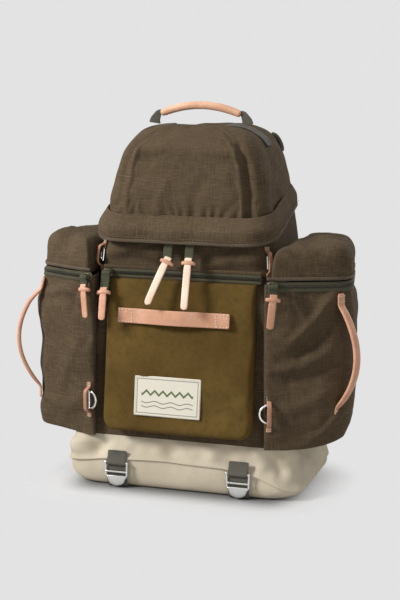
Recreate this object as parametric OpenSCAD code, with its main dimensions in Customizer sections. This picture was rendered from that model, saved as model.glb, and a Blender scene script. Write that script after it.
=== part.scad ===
// Hunting backpack: canvas body on a suede base, domed lid, suede front pocket,
// two side pockets that come off, leather pulls and handles, webbing and metal hardware.
// Millimetres. +X is the viewer's right, the front faces -Y, +Z is up.
// The origin lies on the floor under the middle of the bag.

/* [Body] */
// Height of the seam between the base and the body
base_h = 64; // [58:1:72]
// Width of the body at the base seam
body_w = 300; // [292:1:308]
// Width of the body at the main zip
rim_w = 222; // [216:1:230]
// Distance from the origin to the front panel at the base seam
front_foot = 100; // [96:1:106]
// Distance from the origin to the front panel at the main zip
front_head = 88; // [84:1:94]
// Distance from the origin to the back wall
back_y = 82; // [78:1:90]
// Radius of the two front edges at the base seam
corner_front = 24; // [20:1:28]
// Radius of the two front edges at the main zip
corner_rim = 32; // [26:1:36]
// Radius of the two back edges
corner_back = 40; // [32:1:46]
// Thickness of a padded canvas wall
wall = 3; // [2:0.5:4]
// Height of the main zip at the front
rim_front = 330; // [326:1:336]
// Height of the main zip at the back
rim_back = 376; // [366:1:384]

/* [Base] */
// Thickness of the stiff floor
floor_t = 8; // [6:0.5:10]
// Height of the seam round the base
seam_z = 40; // [34:1:48]
// How far that seam stands out in front of the body
seam_front = 11; // [8:1:14]
// How far that seam stands out at the sides
seam_side = 7; // [5:0.5:9]
// How far the floor stands out in front of the body
floor_front = 7; // [4:1:10]
// Thickness of the base band
base_wall = 4; // [3:0.5:5]

/* [Lid] */
// Height of the lid's crown
lid_top = 458; // [452:1:466]
// How much the lid narrows on its way up
lid_taper = 0.2; // [0.12:0.01:0.26]
// Depth of the gap that the main zip fills
zip_gap = 5; // [4.5:0.5:6]
// Height of the cuff above the zip, as a share of the lid
cuff_share = 0.13; // [0.11:0.01:0.18]
// How far the cuff hangs below the zip
cuff_drop = 11; // [9:1:14]
// How far the cuff's lip stands off the sides of the body
cuff_stand = 5; // [5:0.5:7]
// How far the cuff's lip stands off the front of the body
cuff_front = 18; // [17:0.5:20]
// Thickness of the cuff
cuff_t = 3; // [2:0.5:3.5]

/* [Top handle] */
// Distance from the middle to a foot of the handle
handle_foot = 62; // [60:1:66]
// Height of the grip's ends above the lid's crown
handle_rise = 14; // [13:0.5:16]
// How far the grip arches up between its ends
grip_arch = 11; // [9:0.5:13]
// Length of the leather grip
grip_len = 108; // [100:1:114]
// Diameter of the leather grip
grip_d = 11; // [9:0.5:13]
// Place of the handle in front of the origin
handle_y = 15; // [5:1:25]

/* [Webbing and pulls] */
// Width of the base straps
strap_w = 30; // [25:1:32]
// Thickness of the webbing
webbing_t = 2; // [1.5:0.1:2.2]
// Width of a zip slider
slider_w = 14; // [13:0.5:16]
// Length of a zip slider
slider_h = 12; // [11:0.5:13]
// Depth of a zip slider
slider_d = 5; // [4:0.5:5.5]
// Diameter of the bar that a pull swings on
bar_d = 2.4; // [2:0.1:2.6]
// Width of the webbing and leather pulls
pull_w = 10; // [8:0.5:10.5]
// Thickness of a leather pull
leather_t = 3; // [2:0.5:3]
// Length of the webbing loop on a main slider
main_loop = 34; // [30:1:36]
// Length of a main leather pull
main_pull = 66; // [56:1:70]
// Sideways lean of the left main leather pull
pull_splay = 20; // [10:1:24]
// Distance from the middle to each main slider at rest
main_slider_x = 14; // [12:1:20]
// Lean of the main pulls out from the front panel
main_lean = 13; // [13:1:15]

/* [Front pocket] */
// Width of the suede front pocket
pocket_w = 196; // [186:1:200]
// Height of the suede front pocket
pocket_h = 194; // [188:1:196]
// Height of the pocket's lower edge above the base seam
pocket_z = 11; // [8:1:12]
// Depth of the pocket at its foot
pocket_foot_t = 24; // [20:1:26]
// Depth of the pocket at its top
pocket_head_t = 6; // [5:0.5:8]
// Radius of the pocket's lower corners
pocket_r = 26; // [20:1:32]
// How far each end of the pocket's zip stays inside the main zip's width
front_zip_in = 6; // [5:0.5:8]
// Height of a zip tape
tape_h = 12.5; // [11:0.5:13]
// Length of the webbing loop on the pocket's slider
front_loop = 26; // [22:1:30]
// Length of the leather pull on the pocket's slider
front_pull = 44; // [36:1:48]
// Lean of that pull out from the front panel
front_lean_out = 19; // [19:1:20]
// Width of the leather strip across the pocket
strip_w = 19; // [16:1:20]
// Length of the leather strip
strip_len = 147; // [140:1:156]
// Height of the leather strip above the base seam
strip_z = 160; // [152:1:161]
// How far the slack strip stands off the pocket
strip_bow = 8; // [7:0.5:9]
// Width of the label patch
label_w = 88; // [80:1:92]
// Height of the label patch
label_h = 51; // [46:1:56]
// Height of the patch's lower edge above the pocket's
label_z = 24; // [20:1:30]
// Sideways place of the patch
label_x = -10; // [-14:1:0]

/* [Side pockets] */
// How far the pocket's inner front edge stays inside the main zip's width
side_a_in = 1; // [0:0.5:2]
// Place of the pocket's inner front edge in front of the origin
side_a_y = 112; // [110:1:116]
// Width of the pocket from that edge to its outer edge
side_w = 102; // [96:1:106]
// Place of the pocket's outer edge in front of the origin
side_b_y = 72; // [66:1:78]
// How much narrower the pocket is at its back
side_c_in = 24; // [18:1:30]
// Place of the pocket's back behind the origin
side_back = 50; // [46:1:54]
// Height of the pocket's floor
side_z = 64.5; // [64:0.5:70]
// Height of the pocket's zip
side_rim = 276; // [270:1:280]
// Height of the pocket's top
side_top = 320; // [316:1:324]
// Gap between the lid's cuff and the upper inner wall
side_pass = 3; // [3:0.5:6]
// Gap between a side pocket and the body
side_gap = 1.1; // [1:0.1:1.4]
// Length of the webbing loop on a side slider
side_loop = 16; // [14:1:20]
// Length of the leather pull on a side slider
side_pull = 44; // [38:1:48]
// Height of the upper end of the leather handle
carry_top = 262; // [254:1:264]
// Height of the lower end of the leather handle
carry_foot = 102; // [98:1:110]
// How far the leather handle bows out
carry_bow = 27; // [24:1:29]
// Width of the leather handle
carry_w = 10; // [8:0.5:11]

/* [Rings] */
// Height of the leather loops beside the side pockets' tops
corner_loop_z = 295.5; // [295:0.5:296]
// Height of the leather loops low on the side pockets
pocket_loop_z = 112; // [100:1:120]
// Length of the leather loops on the side pockets
loop_len = 46; // [44:1:48]
// Length of the leather loops on the body's front corners
corner_loop_len = 40; // [39:0.5:41]
// Width of a leather loop
loop_w = 7; // [5:0.5:7]
// Height of the space under a leather loop
loop_gap = 8; // [8:0.5:9]
// Wire diameter of a ring
wire_d = 3; // [2.4:0.2:3]
// Radius of a corner ring's bow
corner_ring_r = 9; // [8:0.5:9.5]
// Radius of a D-ring's bow
d_ring_r = 13; // [11:0.5:13.5]

/* [Buckles] */
// Distance from the middle to each base strap
base_strap_x = 81; // [76:1:88]
// Height of the bar that a base buckle hangs on
base_bar_z = 33; // [32:1:34]
// Diameter of a buckle's bar
buckle_bar_d = 4; // [3.4:0.2:4]
// Thickness of a buckle's plate
buckle_t = 2.5; // [2:0.1:3]
// Drop of a buckle from its bar to the thumb tab's tip
buckle_drop = 31; // [28:1:31]

/* [Carrying system] */
// Thickness of the back pad
pad_t = 12; // [8:1:12]
// Width of the back pad
pad_w = 210; // [180:1:216]
// Height of the back pad's lower edge
pad_foot = 84; // [76:1:100]
// Height of the back pad's upper edge
pad_head = 318; // [300:1:319]
// Width of a shoulder strap at its top
shoulder_w = 62; // [52:1:64]
// Thickness of a shoulder strap
shoulder_t = 12; // [10:1:13]
// Height of a shoulder strap's upper end
shoulder_head = 352; // [345:1:356]
// Height of a shoulder strap's lower end
shoulder_foot = 152; // [148:1:160]
// How far a shoulder strap bows back
shoulder_bow = 32; // [28:1:40]
// Width of the webbing at a shoulder strap's foot
tail_w = 25; // [20:1:26]

/* [Hidden] */
$fn = 32;

canvas = "#61513f";
suede = "#5e4a29";
beige = "#c3b6a3";
leather = "#e0a687";
webbing = "#5b574e";
green = "#44422f";
steel = "silver";
cream = "#e8e2d0";

// Gap between two pieces that are sewn together
sewn = 0.2;
// Gap between a piece and a zip or a bar that it runs on
run_gap = 0.3;
// Clearance between a bar and the eye round it
eye_gap = 0.3;
// Depth of a zip's tape and of its chain
tape_t = 1.4;
chain_t = 1.4;
// Height of a zip's chain
chain_h = 3.8;
// Facets in a rounded corner of the body
corner_seg = 6;
ring_n = 4 * (corner_seg + 1);

function mix(a, b, t) = a + (b - a) * t;
function unit(v) = v / norm(v);
function polar(a) = [cos(a), sin(a)];

// A solid through a row of sections with equally many points.
// The points turn right-handed about the way from the first section to the last.
// Laddered ends are filled by one flat face between each pair of facing points.
module loft(sections, closed = false, laddered = false) {
    n = len(sections[0]);
    m = len(sections);
    rows = closed ? m : m - 1;
    sides = [
        for (j = [0 : rows - 1], i = [0 : n - 1])
            let (a = j * n + i, b = j * n + (i + 1) % n,
                 c = ((j + 1) % m) * n + i, d = ((j + 1) % m) * n + (i + 1) % n)
                each [[a, c, b], [b, c, d]]
    ];
    first = laddered ? [for (i = [0 : n / 2 - 2]) [i, i + 1, n - 2 - i, n - 1 - i]] : [[for (i = [0 : n - 1]) i]];
    last = [for (f = first) [for (i = [len(f) - 1 : -1 : 0]) (m - 1) * n + f[i]]];
    polyhedron([for (s = sections) each s], closed ? sides : concat(first, sides, last), convexity = 10);
}

// The outline of a flat band of thickness t along a path.
function path_normal(path, i) =
    let (d = unit(path[min(i + 1, len(path) - 1)] - path[max(i - 1, 0)])) [-d.y, d.x];
function band(path, t) = concat(
    [for (i = [0 : len(path) - 1]) path[i] - path_normal(path, i) * t / 2],
    [for (i = [len(path) - 1 : -1 : 0]) path[i] + path_normal(path, i) * t / 2]);

// A shape drawn with its first axis along Y and its second along Z, given a width along X.
module across(width) {
    rotate([90, 0, 90]) translate([0, 0, -width / 2]) linear_extrude(width) children();
}

module sided(side) {
    mirror([side < 0 ? 1 : 0, 0, 0]) children();
}

// Outline of a rounded four-sided plan, counter-clockwise from the right end of its front edge.
function plan(half, front, back, rf, rb) = [
    for (c = [0 : 3], i = [0 : corner_seg])
        let (a = -90 + 90 * (c + i / corner_seg),
             at_front = c == 0 || c == 3,
             r = at_front ? rf : rb,
             mid = [(c < 2 ? 1 : -1) * (half - r), at_front ? front + rf : back - rb])
            mid + r * polar(a)
];
function corner_angle(k) = -90 + 90 * (floor(k / (corner_seg + 1)) + (k % (corner_seg + 1)) / corner_seg);

// The body's outer surface: plans at two heights, with straight lines between them.
function corner_at(z) = mix(corner_front, corner_rim, (z - base_h) / (rim_front - base_h));
function body_plan(z, grow) =
    let (t = (z - base_h) / (rim_front - base_h))
        plan(mix(body_w, rim_w, t) / 2 + grow, -mix(front_foot, front_head, t) - grow, back_y + grow,
             corner_at(z) + grow, corner_back + grow);
function body_point(k, z, grow = 0) = [each body_plan(z, grow)[k % ring_n], z];
function front_y(z) = -mix(front_foot, front_head, (z - base_h) / (rim_front - base_h));

// The main zip lies in a plane that rises to the back.
rim_slope = (rim_back - rim_front) / (back_y + front_head);
function rim_point(k, grow = 0) =
    let (p = body_plan(base_h, grow)[k % ring_n], q = body_plan(rim_front, grow)[k % ring_n],
         rate = (q - p) / (rim_front - base_h),
         z = (rim_front + rim_slope * (p.y - rate.y * base_h + front_head)) / (1 - rim_slope * rate.y))
        [each p + rate * (z - base_h), z];
function raised(p, dz) = [p.x, p.y, p.z + dz];
function outward(k) = polar(corner_angle(k % ring_n));
function moved(p, k, out, dz = 0) = [each [p.x, p.y] + outward(k) * out, p.z + dz];

// A wall of the body between two points of its outline.
module body_wall(k0, k1) {
    loft([
        for (k = [k0 : k1])
            [body_point(k, base_h, -wall), raised(rim_point(k, -wall), -zip_gap / 2),
             raised(rim_point(k), -zip_gap / 2), body_point(k, base_h)]
    ]);
}
right_end = corner_seg;
back_start = 2 * corner_seg + 1;
left_start = back_start + 1;
front_start = ring_n - 1;

module front_panel() { color(canvas) body_wall(front_start, ring_n); }
module side_gusset(side) { color(canvas) sided(side) body_wall(0, back_start); }
module back_wall() { color(canvas) body_wall(back_start, left_start); }

// Base: a floor with channels for the straps, and a band that swells to a seam.
strap_room = 0.4;
channel_d = webbing_t + 2 * strap_room;
floor_side = body_w / 2 + 3;
floor_back = back_y + 2;
floor_r = corner_front + 16;
floor_plan = plan(floor_side, -front_foot - floor_front, floor_back, floor_r, corner_back);
floor_step = 4;
floor_inset = 6;
foot_plan = plan(floor_side - floor_inset, -front_foot - floor_front + floor_inset,
                 floor_back - floor_inset, floor_r, corner_back);
module base_floor() {
    color(beige) difference() {
        union() {
            linear_extrude(floor_step) polygon(foot_plan);
            translate([0, 0, floor_step]) linear_extrude(floor_t - floor_step) polygon(floor_plan);
        }
        for (s = [-1, 1])
            translate([s * base_strap_x - strap_w / 2 - 1, -2 * front_foot, -1])
                cube([strap_w + 2, 4 * front_foot, channel_d + 1]);
    }
}

seam_back = 4;
module base_band() {
    top = body_plan(base_h, 0);
    top_in = body_plan(base_h, -base_wall);
    swell = plan(body_w / 2 + seam_side, -front_foot - seam_front, back_y + seam_back,
                 corner_front + 8, corner_back + 4);
    foot_in = plan(floor_side - base_wall, -front_foot - floor_front + base_wall,
                   floor_back - base_wall, floor_r - base_wall, corner_back - base_wall);
    color(beige) loft([
        for (k = [0 : ring_n - 1])
            [[each foot_in[k], floor_t], [each top_in[k], base_h], [each top[k], base_h],
             [each swell[k], seam_z], [each floor_plan[k], floor_t]]
    ], closed = true);
}

// Lid: the zip's outline carried up, drawn in and rounded over.
lid_mid = -10;
lid_levels = [0, 0.2, 0.45, 0.65, 0.8, 0.89, 0.95, 0.98, 0.995];
function lid_scale(u) = (1 - lid_taper * u) * pow(1 - pow(u, 8), 0.25);
function lid_point(k, u, grow = 0) =
    let (p = raised(rim_point(k, grow), zip_gap / 2), s = lid_scale(u))
        [p.x * s, lid_mid + (p.y - lid_mid) * s, mix(p.z, lid_top + grow, u)];
function lid_ring(u, grow) = [for (k = [0 : ring_n - 1]) lid_point(k, u, grow)];
module lid() {
    top = len(lid_levels) - 1;
    color(canvas) loft(concat(
        [for (i = [top : -1 : 0]) lid_ring(lid_levels[i], -wall)],
        [for (u = lid_levels) lid_ring(u, 0)]));
}

// The cuff runs along both sides and the front, from the back edge of one side to that of the other.
cuff_start = left_start + corner_seg;
cuff_end = ring_n + right_end + 1;
cuff_seat = 0.4;
module lid_cuff() {
    color(canvas) loft([
        for (k = [cuff_start : cuff_end])
            let (p = rim_point(k), stand = mix(cuff_stand, cuff_front, pow(outward(k).y, 2)),
                 lip = moved(p, k, stand, -cuff_drop), swell = moved(p, k, stand - 1, zip_gap),
                 top = moved(lid_point(k, cuff_share), k, cuff_seat))
                [lip, swell, top, moved(top, k, cuff_t), moved(swell, k, cuff_t), moved(lip, k, cuff_t)]
    ], laddered = true);
}

// Main zip: its tape on the body below the rim, and its chain in the gap.
module main_zip() {
    color(green) loft([
        for (k = [cuff_start : cuff_end])
            let (p = rim_point(k), inner = rim_point(k, -wall), foot = body_point(k, p.z - tape_h, sewn))
                [foot, body_point(k, p.z - chain_h / 2, sewn), raised(inner, -chain_h / 2),
                 raised(inner, chain_h / 2), moved(p, k, tape_t, chain_h / 2), moved(foot, k, tape_t)]
    ]);
}

// A patch of webbing on the lid's surface.
patch_tilt = 40;
function on_lid(k, u, out) =
    let (p = lid_point(k, u), n = outward(k))
        [p.x + n.x * out * cos(patch_tilt), p.y + n.y * out * cos(patch_tilt), p.z + out * sin(patch_tilt)];
tab_seat = 0.5;
tab_levels = [0.65, 0.8, 0.89];
module lid_tabs() {
    mid = right_end + 1 + corner_seg / 2;
    color(webbing) for (s = [-1, 1]) sided(s)
        for (i = [0, 1]) loft([
            for (k = [mid, mid + 1])
                [on_lid(k, tab_levels[i], tab_seat), on_lid(k, tab_levels[i + 1], tab_seat),
                 on_lid(k, tab_levels[i + 1], tab_seat + webbing_t),
                 on_lid(k, tab_levels[i], tab_seat + webbing_t)]
        ]);
}

// Top handle: tabs sewn to the lid, webbing that stands up from them, and a wrapped grip.
function lid_side(u, y) =
    let (p = lid_point(right_end, u), q = lid_point(right_end + 1, u), t = (y - p.y) / (q.y - p.y))
        [mix(p.x, q.x, t), mix(p.z, q.z, t)];
handle_tab_w = 24;
handle_levels = [0.8, 0.89, 0.95, 0.98];
tab_path = [for (u = handle_levels) lid_side(u, -handle_y)];
handle_tab_gap = 0.8;
handle_z = lid_side(0.98, -handle_y).y + 2 * handle_tab_gap + webbing_t;
module handle_tabs() {
    lift = handle_tab_gap + webbing_t / 2;
    raised_path = [for (i = [0 : len(tab_path) - 1]) tab_path[i] - path_normal(tab_path, i) * lift];
    color(webbing) for (s = [-1, 1]) sided(s)
        translate([0, -handle_y, 0]) rotate([0, 0, -90]) across(handle_tab_w)
            polygon(band(raised_path, webbing_t));
}

grip_z = lid_top + handle_rise;
foot_w = 20;
neck_w = 6;
module handle_webbing() {
    color(webbing) for (s = [-1, 1]) sided(s)
        translate([0, -handle_y + webbing_t / 2, 0]) rotate([90, 0, 0]) linear_extrude(webbing_t) polygon([
            [handle_foot - foot_w / 2, handle_z], [handle_foot + foot_w / 2, handle_z],
            [grip_len / 2 + neck_w, grip_z], [grip_len / 2 + sewn, grip_z + neck_w / 2],
            [grip_len / 2 + sewn, grip_z - grip_d / 2 - sewn]
        ]);
}
module handle_grip() {
    sides = 10;
    steps = 8;
    color(leather) loft([
        for (j = [0 : steps])
            let (x = mix(-grip_len / 2, grip_len / 2, j / steps),
                 z = grip_z + grip_arch * (1 - pow(2 * x / grip_len, 2)))
                [for (i = [0 : sides - 1])
                    let (c = polar(360 * i / sides) * grip_d / 2) [x, c.x - handle_y, z + c.y]]
    ]);
}

// The front panel's plane, with its foot at the base seam: local Z runs up it and -Y leaves it.
front_lean = atan((front_foot - front_head) / (rim_front - base_h));
front_len = (rim_front - base_h) / cos(front_lean);
module on_front() {
    translate([0, -front_foot, base_h]) rotate([-front_lean, 0, 0]) children();
}

// Front pocket: a wedge with rounded lower corners.
pocket_lean = atan((pocket_foot_t - pocket_head_t) / pocket_h);
pocket_edge = 8;
function pocket_half(z) = pocket_w / 2 - (z < pocket_r ? pocket_r - sqrt(pow(pocket_r, 2) - pow(pocket_r - z, 2)) : 0);
function pocket_depth(z) =
    mix(pocket_foot_t, pocket_head_t, z / pocket_h) - (z < pocket_edge ? pow(1 - z / pocket_edge, 2) * pocket_edge : 0);
module front_pocket() {
    levels = [0, 2, 5, pocket_edge, pocket_r / 2, pocket_r, pocket_h];
    edge = 4;
    color(suede) on_front() translate([0, 0, pocket_z]) loft([
        for (z = levels)
            [for (p = plan(pocket_half(z), -sewn - pocket_depth(z), -sewn, edge, 1)) [p.x, p.y, z]]
    ]);
}
module on_suede() {
    on_front() translate([0, -sewn - pocket_foot_t, pocket_z]) rotate([-pocket_lean, 0, 0]) children();
}

front_zip_z = pocket_z + pocket_h + run_gap;
front_zip_len = rim_w - 2 * front_zip_in;
module front_zip() {
    color(green) on_front() translate([-front_zip_len / 2, 0, front_zip_z]) {
        translate([0, -sewn - tape_t, 0]) cube([front_zip_len, tape_t, tape_h]);
        translate([0, -sewn - tape_t - chain_t, (tape_h - chain_h) / 2]) cube([front_zip_len, chain_t, chain_h]);
    }
}

strip_pad = 20;
strip_x = -6;
strip_steps = 16;
module front_strip() {
    half = strip_len / 2;
    free = half - strip_pad;
    path = concat(
        [[-half, 0]],
        [for (i = [0 : strip_steps])
            let (x = mix(-free, free, i / strip_steps)) [x, -strip_bow * pow(cos(90 * x / free), 2)]],
        [[half, 0]]);
    color(leather) on_suede()
        translate([strip_x, -sewn - leather_t / 2, strip_z - pocket_z - strip_w / 2])
            linear_extrude(strip_w) polygon(band(path, leather_t));
}

label_t = 1.2;
module label_patch() {
    color(cream) on_suede() translate([label_x - label_w / 2, -sewn - label_t, label_z])
        cube([label_w, label_t, label_h]);
}

// Zip slider: a block on the chain, with two ears that hold a bar.
// Its origin is on the chain's face at the closing line; -Y leaves the zip.
ear_t = 1.6;
eye_t = 1.2;
slider_over = 2;
eye_r = bar_d / 2 + eye_gap + eye_t;
bar_y = -run_gap - slider_d - run_gap - eye_r;
bar_z = slider_over - slider_h / 2;
module slider() {
    color(steel) {
        translate([-slider_w / 2, -run_gap - slider_d, slider_over - slider_h])
            cube([slider_w, slider_d, slider_h]);
        for (s = [-1, 1])
            translate([s * (slider_w - ear_t) / 2 - ear_t / 2, bar_y - bar_d / 2, bar_z - bar_d / 2])
                cube([ear_t, -bar_y + bar_d / 2 - run_gap - slider_d / 2, bar_d]);
        translate([-slider_w / 2 + ear_t / 2, bar_y, bar_z]) rotate([0, 90, 0])
            cylinder(d = bar_d, h = slider_w - ear_t);
    }
}

// Webbing loop on a slider's bar, hanging along -Z from the bar.
loop_t = 1.8;
module webbing_loop(length) {
    color(green) across(min(pull_w, slider_w - 2 * ear_t - 2 * run_gap)) difference() {
        union() {
            circle(r = eye_r);
            translate([-loop_t / 2, -length]) square([loop_t, length]);
        }
        circle(r = bar_d / 2 + eye_gap);
    }
}

// Leather pull in front of the webbing loop's end.
lap = 6;
module leather_pull(loop_length, length, splay = 0) {
    color(leather) translate([0, -loop_t / 2 - sewn, -loop_length + lap]) rotate([90, splay, 0])
        linear_extrude(leather_t) {
            translate([-pull_w / 2, -length + pull_w / 2]) square([pull_w, length - pull_w]);
            translate([0, -pull_w / 2]) circle(d = pull_w);
            translate([0, -length + pull_w / 2]) circle(d = pull_w);
        }
}

module at_main_slider(side) {
    on_front() translate([side * main_slider_x, -sewn - tape_t, front_len]) children();
}
module at_bar(lean) {
    translate([0, bar_y, bar_z]) rotate([-lean, 0, 0]) children();
}
module main_slider(side) { at_main_slider(side) slider(); }
module main_webbing(side) { at_main_slider(side) at_bar(main_lean) webbing_loop(main_loop); }
module main_leather(side) {
    at_main_slider(side) at_bar(main_lean) leather_pull(main_loop, main_pull, side < 0 ? pull_splay : 0);
}

front_slider_x = -front_zip_len / 2 + slider_w / 2 + 1;
module at_front_slider() {
    on_front() translate([front_slider_x, -sewn - tape_t - chain_t, front_zip_z + run_gap + slider_h - slider_over]) children();
}
module front_slider() { at_front_slider() slider(); }
module front_webbing() { at_front_slider() at_bar(front_lean_out) webbing_loop(front_loop); }
module front_leather() { at_front_slider() at_bar(front_lean_out) leather_pull(front_loop, front_pull); }

// Side pocket, drawn on the right: a plan with a slanted front face, cut to the body's side.
side_a = [rim_w / 2 - side_a_in, -side_a_y];
side_b = [side_a.x + side_w, -side_b_y];
side_c = [side_b.x - side_c_in, side_back];
side_clear = rim_w / 2 + cuff_stand + cuff_t + side_pass;
side_ra = 2.5;
side_rb = 26;
side_rc = 18;
side_lip = 4;
side_lead = 3;
function rounded(before, at, after, r, steps) =
    let (u = unit(at - before), v = unit(after - at), turn = acos(u * v),
         start = at - u * r * tan(turn / 2), mid = start + [-u.y, u.x] * r, a0 = atan2(-u.x, u.y) + 180)
        [for (i = [0 : steps]) mid - r * polar(a0 + turn * i / steps)];
inner_steps = 4;
face_dir = unit(side_b - side_a);
function face_at(x) = side_a + face_dir * (x - side_a.x) / face_dir.x;
function side_inner(z) =
    let (half = body_plan(z, side_gap)[right_end].x, shift = max(0, side_clear - half),
         r = corner_at(z) + side_gap, mid = [half - r + shift, front_y(z) + corner_at(z)],
         lip = side_a.x + side_lip, turn = acos(min(max((lip + side_lead - mid.x) / r, 0), 0.95)))
        concat([[half + shift, side_back]],
               [for (i = [0 : inner_steps]) mid + r * polar(-turn * i / inner_steps)],
               [[lip, mid.y - sqrt(pow(r, 2) - pow(max(lip - mid.x, 0), 2))]]);
function side_front_edge(z) = rounded(side_inner(z)[inner_steps + 2], side_a, side_b, side_ra, 3);
side_edges = concat(
    rounded(side_a, side_b, side_c, side_rb, 5), rounded(side_b, side_c, [side_clear, side_back], side_rc, 3));
side_mid = [(side_clear + side_b.x) / 2, (side_a.y + side_c.y) / 2];
function shrunk(points, s) = [for (p = points) side_mid + (p - side_mid) * s];
function at_height(points, z) = [for (p = points) [p.x, p.y, z]];
function side_ring(z, s) = at_height(concat(side_front_edge(z), shrunk(side_edges, s), side_inner(z)), z);

// The room inside ends in front at a straight inner wall.
cavity_r = 3;
cavity_lead = 8;
cavity_bulge = 0.8;
function side_room(x) =
    let (a = face_at(x))
        concat(rounded([x, side_back], a, side_b, cavity_r, 3), side_edges,
               [for (i = [0 : inner_steps + 2])
                   let (t = i / (inner_steps + 2))
                       [x - cavity_bulge * sin(180 * t), mix(side_back, a.y + cavity_lead, t)]]);
side_skin = 0.94;
side_foot = [[0, 0.9], [6, 0.97]];
side_edge = 16;
side_rows = 4;
module side_pocket(side) {
    function level(i) = mix(side_z + side_edge, side_rim - zip_gap / 2, i / side_rows);
    function room_ring(z, s) = at_height(shrunk(side_room(side_inner(z)[0].x), s), z);
    color(canvas) sided(side) loft(concat(
        [for (l = side_foot) side_ring(side_z + l[0], l[1])],
        [for (i = [0 : side_rows]) side_ring(level(i), 1)],
        [for (i = [side_rows : -1 : 0]) room_ring(level(i) + (i == 0 ? wall : 0), side_skin)],
        [room_ring(side_z + wall, side_foot[0][1] - 0.02)]));
}

// The top keeps clear of the lid's cuff, so that it can open past it.
side_top_plan = side_room(side_clear);
side_top_levels = [0, 0.4, 0.7, 0.88, 0.97];
side_top_taper = 0.12;
function side_top_scale(u) = (1 - side_top_taper * u) * pow(1 - pow(u, 5), 0.25);
module side_top(side) {
    rim = side_rim + zip_gap / 2;
    last = len(side_top_levels) - 1;
    function top_ring(u, s, top) = at_height(shrunk(side_top_plan, s * side_top_scale(u)), mix(rim, top, u));
    color(canvas) sided(side) loft(concat(
        [for (i = [last : -1 : 0]) top_ring(side_top_levels[i], side_skin, side_top - wall)],
        [for (u = side_top_levels) top_ring(u, 1, side_top)]));
}

// Side zip: tape and chain round the outer faces.
side_zip_in = 2;
module side_zip(side) {
    face = concat(side_front_edge(side_rim), side_edges);
    outer = sewn + tape_t;
    function off(i, d) = face[i] - path_normal(face, i) * d;
    color(green) sided(side) loft([
        for (i = [0 : len(face) - 1])
            [[each off(i, sewn), side_rim - tape_h], [each off(i, sewn), side_rim - chain_h / 2],
             [each off(i, -side_zip_in), side_rim - chain_h / 2], [each off(i, -side_zip_in), side_rim + chain_h / 2],
             [each off(i, outer), side_rim + chain_h / 2], [each off(i, outer), side_rim - tape_h]]
    ]);
}

// The slanted front face: local X runs along it from its inner edge and -Y leaves it.
face_turn = atan2(face_dir.y, face_dir.x);
module on_face(s, z) {
    translate([side_a.x + s * face_dir.x, side_a.y + s * face_dir.y, z]) rotate([0, 0, face_turn]) children();
}
side_slider_s = 12;
module at_side_slider(side) {
    sided(side) on_face(side_slider_s, side_rim) translate([0, -tape_t - sewn, 0]) children();
}
module side_slider(side) { at_side_slider(side) slider(); }
module side_webbing(side) { at_side_slider(side) at_bar(0) webbing_loop(side_loop); }
module side_leather(side) { at_side_slider(side) at_bar(0) leather_pull(side_loop, side_pull); }

// Leather carrying handle on the rounded outer edge of a side pocket.
carry_seat_turn = -56;
carry_turn = -28;
carry_pad = 16;
carry_t = 3.5;
carry_lift = 2.4;
carry_steps = 12;
module carry_handle(side) {
    edge = rounded(side_a, side_b, side_c, side_rb, 2);
    mid = edge[1] - side_rb * polar(atan2(edge[2].x - edge[0].x, edge[0].y - edge[2].y) + 180);
    seat = mid + side_rb * polar(carry_seat_turn);
    path = concat(
        [[0, carry_foot]],
        [for (i = [0 : carry_steps])
            let (t = i / carry_steps)
                [carry_bow * pow(sin(180 * t), 0.8), mix(carry_foot + carry_pad, carry_top - carry_pad, t)]],
        [[0, carry_top]]);
    color(leather) sided(side) translate([seat.x, seat.y, 0]) rotate([0, 0, carry_turn])
        translate([carry_lift + carry_t / 2, 0, 0]) rotate([0, 0, -90]) across(carry_w)
            polygon(band(path, carry_t));
}

// Leather loop with a gap under it, and the ring that it holds: local -Y leaves the surface.
loop_pad = 6;
loop_ramp = 4;
loop_thick = 2.4;
ring_off = wire_d / 2 + run_gap;
module leather_loop(length) {
    half = length / 2;
    rise = loop_gap + loop_thick / 2;
    seat = 0.3 + loop_thick / 2;
    flat = half - loop_pad - loop_ramp;
    path = [[-seat, -half], [-seat, -half + loop_pad], [-rise, -flat],
            [-rise, flat], [-seat, half - loop_pad], [-seat, half]];
    color(leather) across(loop_w) polygon(band(path, loop_thick));
}
module d_ring(way, bow_r) {
    reach = bow_r - wire_d / 2;
    color(steel) translate([0, -ring_off, 0]) {
        cylinder(d = wire_d, h = 2 * reach, center = true);
        rotate([90, 0, 0]) rotate([0, 0, way > 0 ? -90 : 90]) rotate_extrude(angle = 180)
            translate([reach, 0]) circle(d = wire_d);
        for (s = [-1, 1]) translate([0, 0, s * reach]) sphere(d = wire_d);
    }
}

corner_k = 3;
corner_growth = corner_rim - corner_front;
corner_in = [(body_w - rim_w) / 2 + corner_growth, -(front_foot - front_head) - corner_growth];
corner_tilt = atan((outward(corner_k) * corner_in - corner_growth) / (rim_front - base_h));
module on_corner(side) {
    p = body_point(corner_k, corner_loop_z);
    sided(side) translate(p) rotate([0, 0, corner_angle(corner_k) + 90]) rotate([-corner_tilt, 0, 0]) children();
}
module corner_loop(side) { on_corner(side) leather_loop(corner_loop_len); }
module corner_ring(side) { on_corner(side) d_ring(1, corner_ring_r); }

pocket_loop_s = 9;
module on_pocket_edge(side) { sided(side) on_face(pocket_loop_s, pocket_loop_z) children(); }
module pocket_loop(side) { on_pocket_edge(side) leather_loop(loop_len); }
module pocket_ring(side) { on_pocket_edge(side) d_ring(-1, d_ring_r); }

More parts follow.
